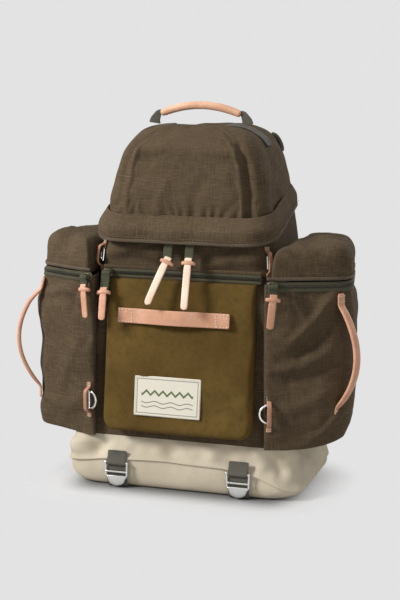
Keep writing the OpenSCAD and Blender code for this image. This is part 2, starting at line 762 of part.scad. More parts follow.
// Ladder-lock buckle, hanging along -Z from its bar; -Y is its front.
buckle_rail = 3;
module ladder_lock(width, drop) {
    outer = width + 2 * buckle_rail;
    tab = drop * 0.42;
    r = (pow(outer / 2, 2) + pow(tab, 2)) / (2 * tab);
    color(steel) {
        rotate([0, 90, 0]) cylinder(d = buckle_bar_d, h = outer, center = true);
        translate([0, buckle_t / 2, 0]) rotate([90, 0, 0]) linear_extrude(buckle_t) {
            for (s = [-1, 1])
                translate([s * (outer - buckle_rail) / 2 - buckle_rail / 2, -drop + tab])
                    square([buckle_rail, drop - tab]);
            translate([-outer / 2, -drop + tab]) square([outer, buckle_rail]);
            translate([0, -drop + tab]) intersection() {
                translate([0, r - tab]) circle(r = r);
                translate([-outer / 2, -tab]) square([outer, tab]);
            }
        }
    }
}

buckle_eye = buckle_bar_d / 2 + eye_gap + eye_t;
base_bar_y = -front_foot - seam_front - 5;
module base_strap(side) {
    lift = strap_room + webbing_t / 2;
    front = -front_foot - floor_front - 5;
    back = back_y + seam_back + webbing_t / 2 + strap_room;
    path = [[back, seam_z + 12], [back, seam_z], [back, 6], [back - 3, lift], [front + 8, lift],
            [front + 2, 3], [front, 9], [front - 1, base_bar_z - 11]];
    seat = -front_foot - seam_front - webbing_t / 2 - run_gap;
    stub = [[seat + 2, seam_z + 8], [seat, seam_z + 1], [base_bar_y, base_bar_z]];
    color(webbing) translate([side * base_strap_x, 0, 0]) {
        across(strap_w) polygon(band(path, webbing_t));
        across(strap_w - 2 * run_gap) difference() {
            union() {
                polygon(band(stub, webbing_t));
                translate([base_bar_y, base_bar_z]) circle(r = buckle_eye);
            }
            translate([base_bar_y, base_bar_z]) circle(d = buckle_bar_d + 2 * eye_gap);
        }
    }
}
module base_buckle(side) {
    translate([side * base_strap_x, base_bar_y, base_bar_z]) ladder_lock(strap_w, buckle_drop);
}

// Back pad: a crowned cushion on the back wall.
module back_pad() {
    steps = [[0, 0], [0.55, 0], [0.85, 5], [1, 16]];
    mid_z = (pad_head + pad_foot) / 2;
    half_z = (pad_head - pad_foot) / 2;
    color(canvas) translate([0, back_y + sewn, mid_z]) rotate([-90, 0, 0]) loft([
        for (s = steps)
            [for (p = plan(pad_w / 2 - s[1], -half_z + s[1], half_z - s[1], 30 - s[1], 30 - s[1]))
                [p.x, p.y, s[0] * pad_t]]
    ]);
}

// Shoulder strap: a padded band that bows back from the top of the back wall.
strap_steps = 12;
shoulder_x0 = 50;
shoulder_x1 = 84;
pad_face = back_y + sewn + pad_t;
function shoulder_path(t) = [
    mix(shoulder_x0, shoulder_x1, pow(t, 1.4)),
    mix(back_y + run_gap + shoulder_t / 2, pad_face + 3 + shoulder_t / 2, t) + shoulder_bow * sin(180 * t),
    mix(shoulder_head, shoulder_foot, t)
];
function padded_section(p, lean, w, t) =
    let (edge = 4, corner = [[-1, -1], [1, -1], [1, 1], [-1, 1]])
        [for (c = corner, j = [0, 1])
            let (first = (c.x * c.y > 0) == (j == 0),
                 a = c.x * (w / 2 - (first ? 0 : edge)), b = c.y * (t / 2 - (first ? edge : 0)))
                [p.x + a, p.y + b * cos(lean), p.z - b * sin(lean)]];
module shoulder_strap(side) {
    color(canvas) sided(side) loft([
        for (j = [0 : strap_steps])
            let (t = j / strap_steps, d = shoulder_path(t + 0.01) - shoulder_path(t - 0.01))
                padded_section(shoulder_path(t), atan2(-d.y, -d.z), mix(shoulder_w, shoulder_w - 14, t), shoulder_t)
    ]);
}

// Lower webbing of a shoulder strap, from below its buckle to the base's back corner.
strap_bar = shoulder_path(1) - [0, 0, buckle_eye + 3];
strap_drop = 24;
// Gap that the slanted end of the shoulder strap needs above its webbing
tail_gap = 0.8;
tail_foot = [116, back_y + seam_back + webbing_t / 2 + run_gap, seam_z + 4];
module strap_tail(side) {
    head = strap_bar - [0, 0, strap_drop + 2];
    span = tail_foot - head;
    skew = [tail_w / 2, 0, -tail_w / 2 * span.x / span.z];
    thick = [0, webbing_t / 2, 0];
    function cut(p) = [p - skew - thick, p + skew - thick, p + skew + thick, p - skew + thick];
    bar_loop = [[strap_bar.y, strap_bar.z], [strap_bar.y, shoulder_foot - tail_gap]];
    color(webbing) sided(side) {
        loft([cut(tail_foot), cut(head)]);
        translate([strap_bar.x, 0, 0]) across(tail_w - 2 * run_gap) difference() {
            union() {
                polygon(band(bar_loop, webbing_t));
                translate([strap_bar.y, strap_bar.z]) circle(r = buckle_eye);
            }
            translate([strap_bar.y, strap_bar.z]) circle(d = buckle_bar_d + 2 * eye_gap);
        }
    }
}
module strap_buckle(side) { sided(side) translate(strap_bar) ladder_lock(tail_w, strap_drop); }

front_panel();
side_gusset(-1);  // side_gusset_left
side_gusset(1);  // side_gusset_right
back_wall();
base_floor();
base_band();
main_zip();
front_pocket();
front_zip();
front_strip();
label_patch();
base_strap(-1);  // base_strap_left
base_strap(1);  // base_strap_right
back_pad();
shoulder_strap(-1);  // shoulder_strap_left
shoulder_strap(1);  // shoulder_strap_right
strap_tail(-1);  // strap_tail_left
strap_tail(1);  // strap_tail_right
corner_loop(-1);  // corner_loop_left
corner_loop(1);  // corner_loop_right
lid();
lid_cuff();
lid_tabs();
handle_tabs();
handle_grip();
handle_webbing();
main_slider(-1);  // main_slider_left
main_slider(1);  // main_slider_right
main_webbing(-1);  // main_loop_left
main_webbing(1);  // main_loop_right
main_leather(-1);  // main_pull_left
main_leather(1);  // main_pull_right
front_slider();
front_webbing();  // front_loop
front_leather();  // front_pull
side_pocket(-1);  // side_pocket_left
side_pocket(1);  // side_pocket_right
side_top(-1);  // side_top_left
side_top(1);  // side_top_right
side_zip(-1);  // side_zip_left
side_zip(1);  // side_zip_right
side_slider(-1);  // side_slider_left
side_slider(1);  // side_slider_right
side_webbing(-1);  // side_loop_left
side_webbing(1);  // side_loop_right
side_leather(-1);  // side_pull_left
side_leather(1);  // side_pull_right
carry_handle(-1);  // carry_handle_left
carry_handle(1);  // carry_handle_right
pocket_loop(-1);  // pocket_loop_left
pocket_loop(1);  // pocket_loop_right
corner_ring(-1);  // corner_ring_left
corner_ring(1);  // corner_ring_right
pocket_ring(-1);  // d_ring_left
pocket_ring(1);  // d_ring_right
base_buckle(-1);  // base_buckle_left
base_buckle(1);  // base_buckle_right
strap_buckle(-1);  // strap_buckle_left
strap_buckle(1);  // strap_buckle_right
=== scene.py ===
"""Hunting backpack: canvas body on a suede base, domed lid with a rolled cuff, suede front pocket,
two side pockets that come off, leather pulls and handles, grey webbing and bright hardware.
Shapes are worked out in millimetres, and patch() and beads() turn them into metres."""

import bpy
import math
import numpy as np
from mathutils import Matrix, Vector


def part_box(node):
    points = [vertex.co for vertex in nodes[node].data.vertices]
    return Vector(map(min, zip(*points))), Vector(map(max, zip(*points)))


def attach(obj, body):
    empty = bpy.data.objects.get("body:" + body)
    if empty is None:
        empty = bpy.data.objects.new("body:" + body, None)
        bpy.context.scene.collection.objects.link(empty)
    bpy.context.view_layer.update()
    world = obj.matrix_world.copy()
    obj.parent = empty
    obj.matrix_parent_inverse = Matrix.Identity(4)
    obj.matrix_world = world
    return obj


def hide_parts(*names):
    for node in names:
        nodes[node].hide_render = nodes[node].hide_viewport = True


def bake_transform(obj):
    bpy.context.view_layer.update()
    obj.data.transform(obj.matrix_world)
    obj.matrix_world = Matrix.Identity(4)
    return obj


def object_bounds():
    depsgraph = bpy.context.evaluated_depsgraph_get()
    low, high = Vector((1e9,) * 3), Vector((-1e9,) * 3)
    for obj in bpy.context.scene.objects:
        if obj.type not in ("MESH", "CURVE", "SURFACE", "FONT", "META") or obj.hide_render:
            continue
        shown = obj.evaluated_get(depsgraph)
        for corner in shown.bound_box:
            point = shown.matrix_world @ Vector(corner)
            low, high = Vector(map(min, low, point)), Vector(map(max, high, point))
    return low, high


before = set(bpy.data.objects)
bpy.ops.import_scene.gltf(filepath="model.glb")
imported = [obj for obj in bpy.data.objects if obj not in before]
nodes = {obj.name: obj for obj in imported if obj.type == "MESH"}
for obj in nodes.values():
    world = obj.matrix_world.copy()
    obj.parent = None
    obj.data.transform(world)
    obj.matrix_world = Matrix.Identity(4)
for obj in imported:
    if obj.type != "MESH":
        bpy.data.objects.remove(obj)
cad_low, cad_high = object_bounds()
scene = bpy.context.scene
scene.view_settings.view_transform = "Standard"
mm = 0.001


# Camera: stands in front of the bag, a little to its right and above it, as the photographer did,
# with a long lens, so that the sides of the bag run almost parallel.
aim = Vector((0, -0.010, 0.2305))
turn, rise, distance = math.radians(18), math.radians(10.5), 1.9
back_off = Vector((math.sin(turn) * math.cos(rise), -math.cos(turn) * math.cos(rise), math.sin(rise)))
camera = bpy.data.objects.new("camera", bpy.data.cameras.new("camera"))
scene.collection.objects.link(camera)
camera.location = aim + back_off * distance
camera.rotation_euler = (-back_off).to_track_quat("-Z", "Y").to_euler()
camera.data.lens, camera.data.sensor_width = 87.4, 36
camera.data.shift_x = -2 / 600
scene.camera = camera


# Studio: a pale floor that fades into a pale backdrop, a broad soft lamp at the upper left
# and weak ones that open the shadows. A contact shadow is painted into the floor's colour, darker close to
# the bag.
class Tone:
    """A shader socket as a Python value: an expression on it adds the nodes that it needs."""

    def __init__(self, tree, socket=None):
        self.tree, self.socket = tree, socket

    def node(self, kind, settings=None, sockets=None, out=0):
        made = self.tree.nodes.new(kind)
        for key, value in (settings or {}).items():
            setattr(made, key, value)
        feed(made, sockets or {})
        return Tone(self.tree, made.outputs[out])

    def math(self, operation, *others):
        return self.node("ShaderNodeMath", {"operation": operation}, dict(enumerate((self, *others))))

    def __add__(self, other):
        return self.math("ADD", other)

    def __mul__(self, other):
        return self.math("MULTIPLY", other)

    def __sub__(self, other):
        return self.math("SUBTRACT", other)

    def __rsub__(self, other):
        return self.math("MULTIPLY_ADD", -1.0, other)

    __radd__, __rmul__ = __add__, __mul__

    def above(self, low, high):
        return self.node("ShaderNodeMapRange", {"interpolation_type": "SMOOTHSTEP"},
                         {"Value": self, "From Min": low, "From Max": high})

    def scaled(self, *factors):
        return self.node("ShaderNodeVectorMath", {"operation": "MULTIPLY"}, {0: self, 1: factors})

    def grain(self, scale, detail=2.0, rough=0.5):
        return self.node("ShaderNodeTexNoise", {},
                         {"Vector": self, "Scale": scale, "Detail": detail, "Roughness": rough})

    def split(self):
        made = self.tree.nodes.new("ShaderNodeSeparateXYZ")
        self.tree.links.new(self.socket, made.inputs[0])
        return [Tone(self.tree, s) for s in made.outputs]

    def between(self, *ends):
        """A mix of two colours. A tuple is a colour as a screen shows it."""
        first, second = (paint(*end) if isinstance(end, tuple) else end for end in ends)
        return self.node("ShaderNodeMix", {"data_type": "RGBA"}, {0: self, 6: first, 7: second}, 2)


def feed(node, sockets):
    """Links or sets the inputs of a node."""
    for key, value in sockets.items():
        if isinstance(value, Tone):
            value.tree.links.new(value.socket, node.inputs[key])
        else:
            node.inputs[key].default_value = value


def paint(red, green, blue):
    """An sRGB colour, as a screen shows it, in the linear values that a shader takes."""
    linear = [((c / 255 + 0.055) / 1.055) ** 2.4 if c > 10 else c / 255 / 12.92 for c in (red, green, blue)]
    return (*linear, 1)


def finish(name, make, depth=0.0, **constants):
    """A material whose make(tone, uv, place) returns the values of the shader's sockets."""
    material = bpy.data.materials.new(name)
    material.use_nodes = True
    tree = material.node_tree
    shader = tree.nodes["Principled BSDF"]
    tone = Tone(tree)
    where = tree.nodes.new("ShaderNodeTexCoord")
    values = make(tone, Tone(tree, where.outputs["UV"]), Tone(tree, where.outputs["Object"]))
    if "height" in values:
        relief = {"Height": values.pop("height"), "Strength": 1.0, "Distance": depth}
        values["Normal"] = tone.node("ShaderNodeBump", {}, relief)
    feed(shader, {**constants, **values})
    return material


def beside_bag(place, half_x, middle_y, half_y):
    """How far a point of the floor lies outside an oblong."""
    x, y, _ = place.split()
    aside = (x.math("ABSOLUTE") - half_x).math("MAXIMUM", 0.0)
    ahead = ((y - middle_y).math("ABSOLUTE") - half_y).math("MAXIMUM", 0.0)
    return (aside * aside + ahead * ahead).math("SQRT")


def floor_with_painted_shadow(tone, uv, place):
    # Painted contact shadow: the floor is dark grey beside the front of the bag's foot and turns to the even
    # pale floor within 6 cm.
    near = beside_bag(place, 0.112, -0.06, 0.04).above(0.0, 0.06)
    return {"Base Color": near.between((112, 111, 110), (224, 224, 224)), "Roughness": 0.9}


floor_mesh = bpy.data.meshes.new("studio_floor")
floor_mesh.from_pydata([(x, y, 0) for x, y in ((-6, -6), (6, -6), (6, 6), (-6, 6))], [], [(0, 1, 2, 3)])
studio_floor = bpy.data.objects.new("studio_floor", floor_mesh)
scene.collection.objects.link(studio_floor)
floor_painted_shadow = finish("floor_painted_shadow", floor_with_painted_shadow)
floor_tree = floor_painted_shadow.node_tree
spread = Tone(floor_tree, floor_tree.nodes["Texture Coordinate"].outputs["Object"])
reach = beside_bag(spread, 0.115, -0.05, 0.055).above(0.005, 0.1)
see_through = reach.node("ShaderNodeBsdfTransparent")
painted = Tone(floor_tree, floor_tree.nodes["Principled BSDF"].outputs[0])
faded = reach.node("ShaderNodeMixShader", {}, {0: reach, 1: painted, 2: see_through})
floor_tree.links.new(faded.socket, floor_tree.nodes["Material Output"].inputs[0])
floor_mesh.materials.append(floor_painted_shadow)

world = bpy.data.worlds.new("studio")
scene.world = world
world.use_nodes = True
sky = world.node_tree
rays = sky.nodes.new("ShaderNodeLightPath").outputs
direct, mirrored, passed = (Tone(sky, rays[f"Is {kind} Ray"])
                            for kind in ("Camera", "Glossy", "Transmission"))
seen = (direct + mirrored + passed).math("MINIMUM", 1.0)
glow = seen.between([0.29, 0.29, 0.29, 1], (227, 227, 227))
sky.links.new(glow.socket, sky.nodes["Background"].inputs[0])
lamps = (("key_lamp", (-1.8, -1.4, 1.5), 0.7, 64), ("top_lamp", (-0.3, -0.2, 2.2), 1.4, 13),
         ("back_lamp", (1.2, 1.6, 1.3), 1.2, 10), ("floor_bounce", (1.1, -1.25, 0.12), 1.2, 4))
for name, place, lamp_size, power in lamps:
    light = bpy.data.lights.new(name, "AREA")
    light.shape, light.size, light.energy = "DISK", lamp_size, power
    stand = bpy.data.objects.new(name, light)
    stand.location = place
    stand.rotation_euler = (aim - Vector(place)).to_track_quat("-Z", "Y").to_euler()
    scene.collection.objects.link(stand)


# Base: a beige suede tray. A lower panel turns up at the front to a crescent seam, and an upper band leans
# back from that seam to the body. Stiff board keeps it flat on the floor.
def nubuck(tone, uv, place):
    cloud, nap, rub = place.grain(16, 3), place.grain(900), place.grain(70, 3)
    ground = cloud.above(0.3, 0.7).between((202, 189, 166), (212, 200, 178))
    worn = (rub.above(0.5, 0.85) * 0.5).between(ground, (188, 174, 150))
    return {"Base Color": worn, "Roughness": 0.82 + 0.1 * nap, "height": nap * 0.6 + rub * 0.4}


beige = finish("beige_nubuck", nubuck, 0.0005, **{"Specular IOR Level": 0.2})


def outline(half, front, back, front_r, back_r):
    """A rounded outline, from the middle of the back by the left side, the front and the right side."""
    def line(p, q, n):
        return np.linspace(p, q, n, endpoint=False)

    def bend(x, y, r, start):
        angles = np.radians(start + 9 * np.arange(10))
        return np.column_stack([x + r * np.cos(angles), y + r * np.sin(angles)])

    back_x, front_x, back_y, front_y = back_r - half, front_r - half, back - back_r, front + front_r
    left = np.vstack([line((0, back), (back_x, back), 16), bend(back_x, back_y, back_r, 90),
                      line((-half, back_y), (-half, front_y), 24), bend(front_x, front_y, front_r, 180),
                      line((front_x, front), (0, front), 30), (0, front)])
    return np.vstack([left, left[-2:0:-1] * [-1, 1]])


def unit(vectors):
    """The same directions, each with length 1."""
    return vectors / np.maximum(np.linalg.norm(vectors, axis=-1, keepdims=True), 1e-9)


def at_height(plan, z):
    return np.column_stack([plan, np.broadcast_to(z, len(plan))])


def facing(rows, around):
    """Unit normals of a grid, outward where the columns run counter-clockwise and the rows run up."""
    across = np.roll(rows, -1, 1) - np.roll(rows, 1, 1)
    if not around:
        across[:, 0], across[:, -1] = rows[:, 1] - rows[:, 0], rows[:, -1] - rows[:, -2]
    return unit(np.cross(across, np.gradient(rows, axis=0)))


def cells(grid):
    """The four corners of each cell of a grid, in turn."""
    return np.stack([grid[:-1, :-1], grid[:-1, 1:], grid[1:, 1:], grid[1:, :-1]], 2)


def patch(name, rows, material, around=False, lids=(False, False)):
    """A mesh through a grid of points, with a UV map in metres. Lids close the first and the last ring."""
    rows = rows * mm
    points = rows.reshape(-1, 3).tolist()
    index = np.arange(len(points)).reshape(rows.shape[:2])
    if around:
        rows, index = (np.concatenate([grid, grid[:, :1]], 1) for grid in (rows, index))
    along, rise = (np.append(0, np.cumsum(np.linalg.norm(np.diff(rows, axis=way), axis=2).max(1 - way)))
                   for way in (1, 0))
    faces = cells(index).reshape(-1, 4).tolist()
    corners = cells(np.stack(np.meshgrid(along, rise), -1)).reshape(-1, 2).tolist()
    for shut, end in zip(lids, (0, -1)):
        if shut:
            ring, middle = index[end].tolist(), len(points)
            points.append(rows[end, :-1].mean(0).tolist())
            for a, b in zip(ring, ring[1:]):
                faces.append((a, b, middle) if end else (b, a, middle))
                corners += [points[v][:2] for v in faces[-1]]
    mesh = bpy.data.meshes.new(name)
    mesh.from_pydata(points, [], faces)
    mesh.uv_layers.new(name="UVMap").data.foreach_set("uv", np.array(corners, np.float32).ravel())
    mesh.polygons.foreach_set("use_smooth", [True] * len(faces))
    mesh.materials.append(material)
    piece = bpy.data.objects.new(name, mesh)
    scene.collection.objects.link(piece)
    return piece


def smooth(piece, levels=1, wall=0.0):
    """Rounds the mesh, and gives a sheet the thickness of its wall on the inner side."""
    if wall:
        skin = piece.modifiers.new("wall", "SOLIDIFY")
        skin.thickness, skin.offset = wall * mm, -1
    if levels:
        soft = piece.modifiers.new("soft", "SUBSURF")
        soft.levels = soft.render_levels = levels
    return piece


def fitted(piece, body, slot, *stands_for):
    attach(piece, body)
    if stands_for:
        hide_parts(*stands_for)
    return piece


def shell(name, rows, material, body, slot, *stands_for, around=False, lids=(False, False),
          levels=1, wall=0.0, held=(), puff=()):
    """A sewn piece on its body. Given held and puff, its cloth first settles between the held points."""
    piece = patch(name, rows, material, around, lids)
    if len(held):
        settle(piece, held, *puff)
    return fitted(smooth(piece, levels, wall), body, slot, *stands_for)


def billow(points, scale, seed):
    """Slow, seeded unevenness over points, mostly from -1 to 1: a sum of waves that run every way."""
    chance = np.random.default_rng(int(seed * 10))
    ways, starts = chance.normal(size=(14, 3)), chance.uniform(0, 2 * math.pi, 14)
    return np.sin(points * mm @ ways.T * scale * 3 + starts).sum(-1) / 14 ** 0.5 * 0.75


def fold(flat, path, width):
    """How near each flat point lies to a fold's line: 1 on it, and 0 well beyond its width."""
    near = np.full(flat.shape[:-1], 1e9)
    for p, q in zip(path, path[1:]):
        way = np.subtract(q, p)
        t = np.clip((flat - p) @ way / (way @ way), 0, 1)
        near = np.minimum(near, np.linalg.norm(flat - p - t[..., None] * way, axis=-1))
    return np.exp(-((near / width) ** 2))


def folds(flat, *lines):
    """Several folds together, each given as its height, its width and the points of its line."""
    return sum(height * fold(flat, path, width) for height, width, *path in lines)


base_top, strap_x = 64, 81
body_plan_low = outline(150, -100, 82, 24, 40)
base_foot = outline(146, -101, 78, 40, 40)
base_edge = outline(153, -107, 84, 40, 40)
base_swell = outline(157, -111, 86, 32, 44)
seam_front = np.interp(base_swell[:, 0], (-150, -100, -20, 60, 105, 150), (29, 36, 39, 37, 29, 11))
off_front = np.clip((base_swell[:, 1] + 100) / 60, 0, 1)
seam_line = seam_front + (20 - seam_front) * off_front
base_rows = [at_height(base_foot, 0.6), at_height(base_foot * 0.4 + base_edge * 0.6, 1.2)]
for t in np.linspace(0.12, 1, 9):
    bulge = 2.5 * math.sin(t * math.pi) - 1.6 * t
    plan = base_edge + (base_swell - base_edge) * t
    base_rows.append(at_height(plan * (1 + bulge / 150), 4 + (seam_line - 4) * t))
for outset, lift in ((1.3, -0.5), (1.8, 0.2), (1.6, 1.4)):
    base_rows.append(at_height(base_swell * (1 + outset / 150), seam_line + lift))
for t in np.linspace(0.12, 1, 12):
    sag = -1.6 * math.sin(t * math.pi)
    plan = base_swell + (body_plan_low - base_swell) * t
    base_rows.append(at_height(plan * (1 + sag / 130), seam_line + 2 + (base_top - 1 - seam_line) * t))
base_rows = np.array(base_rows)
base_flat, base_z = base_rows[:, :, [0, 2]], base_rows[:, :, 2]
over_seam = np.clip((base_z - seam_line) / 9, 0, 1)
slack = (0.25 + over_seam) * np.clip((66 - base_z) / 12, 0, 1) * np.clip(base_z / 20, 0, 1)
puffs = folds(base_flat, (4.4, 10, (-64, 64), (-80, 46)), (4.4, 10, (30, 66), (48, 46)),
              (4.4, 10, (92, 64), (108, 42)), (4.4, 10, (-128, 62), (-140, 44)),
              (-6, 9, (-88, 66), (-108, 44)), (-6, 9, (62, 66), (82, 44)),
              (-6, 9, (112, 66), (134, 40)), (-6, 9, (-20, 66), (-8, 50)))
strap_flat = 1 - folds(base_flat, *((0.9, 17, (x, 28), (x, 54)) for x in (-strap_x, strap_x)))
waves = 3.4 * billow(base_rows, 20, 3.1) + 1.2 * billow(base_rows, 48, 7.9)
waves += puffs * (base_rows[:, :, 1] < -60)
base_rows += facing(base_rows, True) * (waves * slack * strap_flat)[:, :, None]
shell("base_cover", base_rows, beige, "pack", "beige_suede", "base_floor", "base_band",
      around=True, lids=(True, False))


# Body: four canvas panels, sewn along the corners into a tube that narrows towards the main zip.
# The canvas is a brown plain weave with thicker slub threads both ways.
def slub_canvas(tone, uv, place):
    across, along, _ = uv.split()
    drift = uv.grain(90) * 6

    def slubs(run, *stretch):
        thread = (run * (2 * math.pi / 0.0023) + drift).math("SINE").above(0.1, 1.0)
        return thread * uv.scaled(*stretch, 1).grain(1, 1).above(0.4, 0.7)

    threads = slubs(along, 55, 330).math("MAXIMUM", slubs(across, 330, 55))
    fleck = uv.grain(1500, 1)
    ground = place.grain(9).above(0.3, 0.7).between((79, 65, 48), (87, 72, 54))
    worn = (fleck.above(0.4, 0.8) * 0.7).between(ground, (62, 50, 36))
    return {"Base Color": (threads * 0.75).between(worn, (120, 102, 78)), "Roughness": 0.92 - 0.1 * threads,
            "height": threads * 0.6 + fleck * 0.4}


canvas = finish("slub_canvas", slub_canvas, 0.0005, **{"Specular IOR Level": 0.2})


def settle(piece, held, pressure, ease, cap):
    """Lets cloth take its own shape: a short simulation with the sewn points held and spare length."""
    start = np.array([v.co for v in piece.data.vertices])
    group = piece.vertex_groups.new(name="sewn")
    for i, weight in enumerate(held):
        if weight > 0:
            group.add([i], float(weight), "REPLACE")
    run = piece.modifiers.new("run", "CLOTH")
    cloth = run.settings
    cloth.quality, cloth.mass = 6, 0.25
    cloth.tension_stiffness = cloth.compression_stiffness = 12
    cloth.shear_stiffness, cloth.bending_stiffness = 6, 0.4
    cloth.vertex_group_mass, cloth.pin_stiffness = "sewn", 3
    cloth.shrink_min = -ease
    cloth.use_pressure, cloth.uniform_pressure_force = True, pressure
    cloth.effector_weights.gravity = 0
    run.collision_settings.use_collision = False
    run.point_cache.frame_start, run.point_cache.frame_end = 1, 20
    for f in range(1, 21):
        scene.frame_set(f)
    shaped = piece.evaluated_get(bpy.context.evaluated_depsgraph_get())
    moved = np.array([v.co for v in shaped.data.vertices]) - start
    far = np.linalg.norm(moved, axis=1, keepdims=True)
    moved *= np.minimum(1, cap * mm / np.maximum(far, 1e-9))
    piece.modifiers.remove(run)
    piece.vertex_groups.remove(group)
    piece.data.vertices.foreach_set("co", (start + moved).astype(np.float32).ravel())
    piece.data.update()
    scene.frame_set(1)


rim_front_y, rim_front_z, rim_back_y, rim_back_z = -88, 330, 82, 376
rim_slope = (rim_back_z - rim_front_z) / (rim_back_y - rim_front_y)
body_high = rim_front_z - base_top
body_low = at_height(body_plan_low, base_top)
rate = (outline(111, rim_front_y, rim_back_y, 32, 40) - body_plan_low) / body_high
rim_z = rim_front_z + rim_slope * (body_plan_low[:, 1] - rate[:, 1] * base_top - rim_front_y)
rim_z /= 1 - rim_slope * rate[:, 1]
rim = at_height(body_plan_low + rate * (rim_z - base_top)[:, None], rim_z)
levels = np.linspace(0, 1, 46)[:, None, None]
body_rows = body_low + (rim - [0, 0, 2.5] - body_low) * levels
body_out = facing(body_rows, True)
on_front = np.clip((-body_out[:, :, 1] - 0.6) / 0.3, 0, 1)
body_flat, body_z = body_rows[:, :, [0, 2]], body_rows[:, :, 2].copy()
creases = folds(body_flat, (4.5, 8, (-104, 300), (-60, 309), (-20, 304)),
                (-4, 6, (-110, 288), (-70, 294), (-30, 287)),
                (4.5, 8, (108, 304), (66, 298), (30, 290)), (-4, 6, (112, 290), (80, 284), (46, 286)),
                (2.5, 9, (-25, 316), (10, 310), (50, 316)),
                (3, 9, (-118, 240), (-112, 170), (-116, 110)), (3, 9, (118, 240), (112, 160), (118, 100)))
loose = np.minimum(1, levels[:, :, 0] * 9) * np.minimum(1, (1 - levels[:, :, 0]) * 14)
waves = creases * on_front + 1.6 * billow(body_rows, 24, 9.7) * (0.4 + on_front)
body_rows += body_out * (waves * loose)[:, :, None]
held = np.zeros(body_z.shape)
held[0] = held[-1] = 1
held[:, np.abs(body_out[0, :, 0]) > 0.5] = 1
held[(on_front > 0.5) & (body_z < 289) | (body_z > rim_z - 16)] = 1
shell("body_shell", body_rows, canvas, "pack", "canvas",
      "front_panel", "side_gusset_left", "side_gusset_right", "back_wall",
      around=True, wall=2.4, held=held.ravel(), puff=(2.0, 0.025, 3))


# Main zip: green tape sewn under the rim of the body, round the front and both sides,
# with a coil of teeth along its upper edge.
def woven(name, light, dark, rib, depth):
    """Narrow woven goods: ribs across the length and a fine twill."""
    def make(tone, uv, place):
        across, along, _ = uv.split()
        pitch = 2 * math.pi / (rib * mm)
        ribs = (along * pitch).math("SINE") * 0.5 + 0.5
        twill = ((across + along) * (pitch * 0.7)).math("SINE") * 0.5 + 0.5
        lay = ribs * 0.55 + twill * 0.3 + uv.grain(1500, 1) * 0.3
        ground = (lay * 0.8).between(dark, light)
        dirty = place.grain(45, 3).above(0.45, 0.8).between(ground, dark)
        return {"Base Color": dirty, "Roughness": 0.92 - 0.12 * lay, "height": lay}
    return finish(name, make, depth)


zip_tape = woven("zip_tape", (92, 87, 63), (58, 55, 39), 1.4, 0.0003)


def bead_tree():
    """Geometry nodes that set rounded beads one after another along lines."""
    tree = bpy.data.node_groups.new("beads_along_lines", "GeometryNodeTree")
    sockets = {"Lines": "Geometry", "Spacing": "Float", "Bead": "Vector", "Finish": "Material"}
    for label, kind in sockets.items():
        tree.interface.new_socket(label, in_out="INPUT", socket_type="NodeSocket" + kind)
    tree.interface.new_socket("Beads", in_out="OUTPUT", socket_type="NodeSocketGeometry")

    given = tree.nodes.new("NodeGroupInput").outputs
    lines, spacing, bead, material = (Tone(tree, given[label]) for label in sockets)
    add = lines.node
    curves = add("GeometryNodeMeshToCurve", {}, {"Mesh": lines})
    places = add("GeometryNodeResampleCurve", {"mode": "LENGTH"}, {"Curve": curves, "Length": spacing})
    tangent = add("GeometryNodeInputTangent")
    along = add("FunctionNodeAlignRotationToVector", {"axis": "X"}, {"Vector": tangent})
    upright = add("FunctionNodeAlignRotationToVector", {"axis": "Y", "pivot_axis": "X"},
                  {"Rotation": along, "Vector": (0, 0, 1)})
    ball = add("GeometryNodeMeshUVSphere", {}, {"Segments": 8, "Rings": 5, "Radius": 0.5})
    ball = add("GeometryNodeSetShadeSmooth", {}, {"Geometry": ball})
    row = add("GeometryNodeInstanceOnPoints", {},
              {"Points": places, "Instance": ball, "Rotation": upright, "Scale": bead})
    solid = add("GeometryNodeRealizeInstances", {}, {"Geometry": row})
    painted = add("GeometryNodeSetMaterial", {}, {"Geometry": solid, "Material": material})
    tree.links.new(painted.socket, tree.nodes.new("NodeGroupOutput").inputs[0])
    return tree


beads_along_lines = bead_tree()


def beads(name, lines, spacing, bead, material, body, slot):
    """Stitches or zip teeth along lines: bead gives their length, their height and their depth."""
    guide = bpy.data.meshes.new(name + "_lines")
    ends = np.cumsum([0] + [len(line) for line in lines])
    edges = [(i, i + 1) for a, b in zip(ends, ends[1:]) for i in range(a, b - 1)]
    guide.from_pydata([tuple(p * mm) for line in lines for p in line], edges, [])
    holder = bpy.data.objects.new(name + "_lines", guide)
    scene.collection.objects.link(holder)
    spread = holder.modifiers.new("beads", "NODES")
    spread.node_group = beads_along_lines
    inputs = {"Spacing": spacing * mm, "Bead": [size * mm for size in bead], "Finish": material}
    for item in beads_along_lines.interface.items_tree:
        if item.name in inputs:
            spread[item.identifier] = inputs[item.name]
    shaped = holder.evaluated_get(bpy.context.evaluated_depsgraph_get())
    piece = bpy.data.objects.new(name, bpy.data.meshes.new_from_object(shaped))
    bpy.data.objects.remove(holder)
    scene.collection.objects.link(piece)
    return fitted(piece, body, slot)


cuff_from, cuff_to = 26, 154
cuff_run = slice(cuff_from, cuff_to + 1)
up = np.array([0, 0, 1])
level_out = unit(facing(np.array([body_low, rim]), True)[1] * [1, 1, 0])
tape_rows = np.array([rim + level_out * out - up * drop for out, drop in
                      ((0.9, 12.5), (1.4, 11), (1.4, 6), (1.2, 2.4))])
shell("main_zip_tape", tape_rows[:, cuff_run], zip_tape, "pack", "zip_tape", "main_zip", levels=0, wall=0.9)
coil = finish("zip_coil", lambda tone, uv, place: {
    "Base Color": place.grain(300).between((40, 37, 27), (60, 56, 42)),
    "Roughness": 0.35 + 0.2 * place.grain(120)})
beads("main_zip_teeth", [(rim + level_out * 1.1)[cuff_run]], 1.8, (1.1, 4.2, 2.2), coil, "pack", "zip_tape")


# Lid: a deep canvas dome with a front panel between two standing seams.
# Its lower edge carries the upper tape of the zip.
lid_foot, lid_mid, lid_top = rim + up * 2.5, np.array([0, -10, 0]), 458


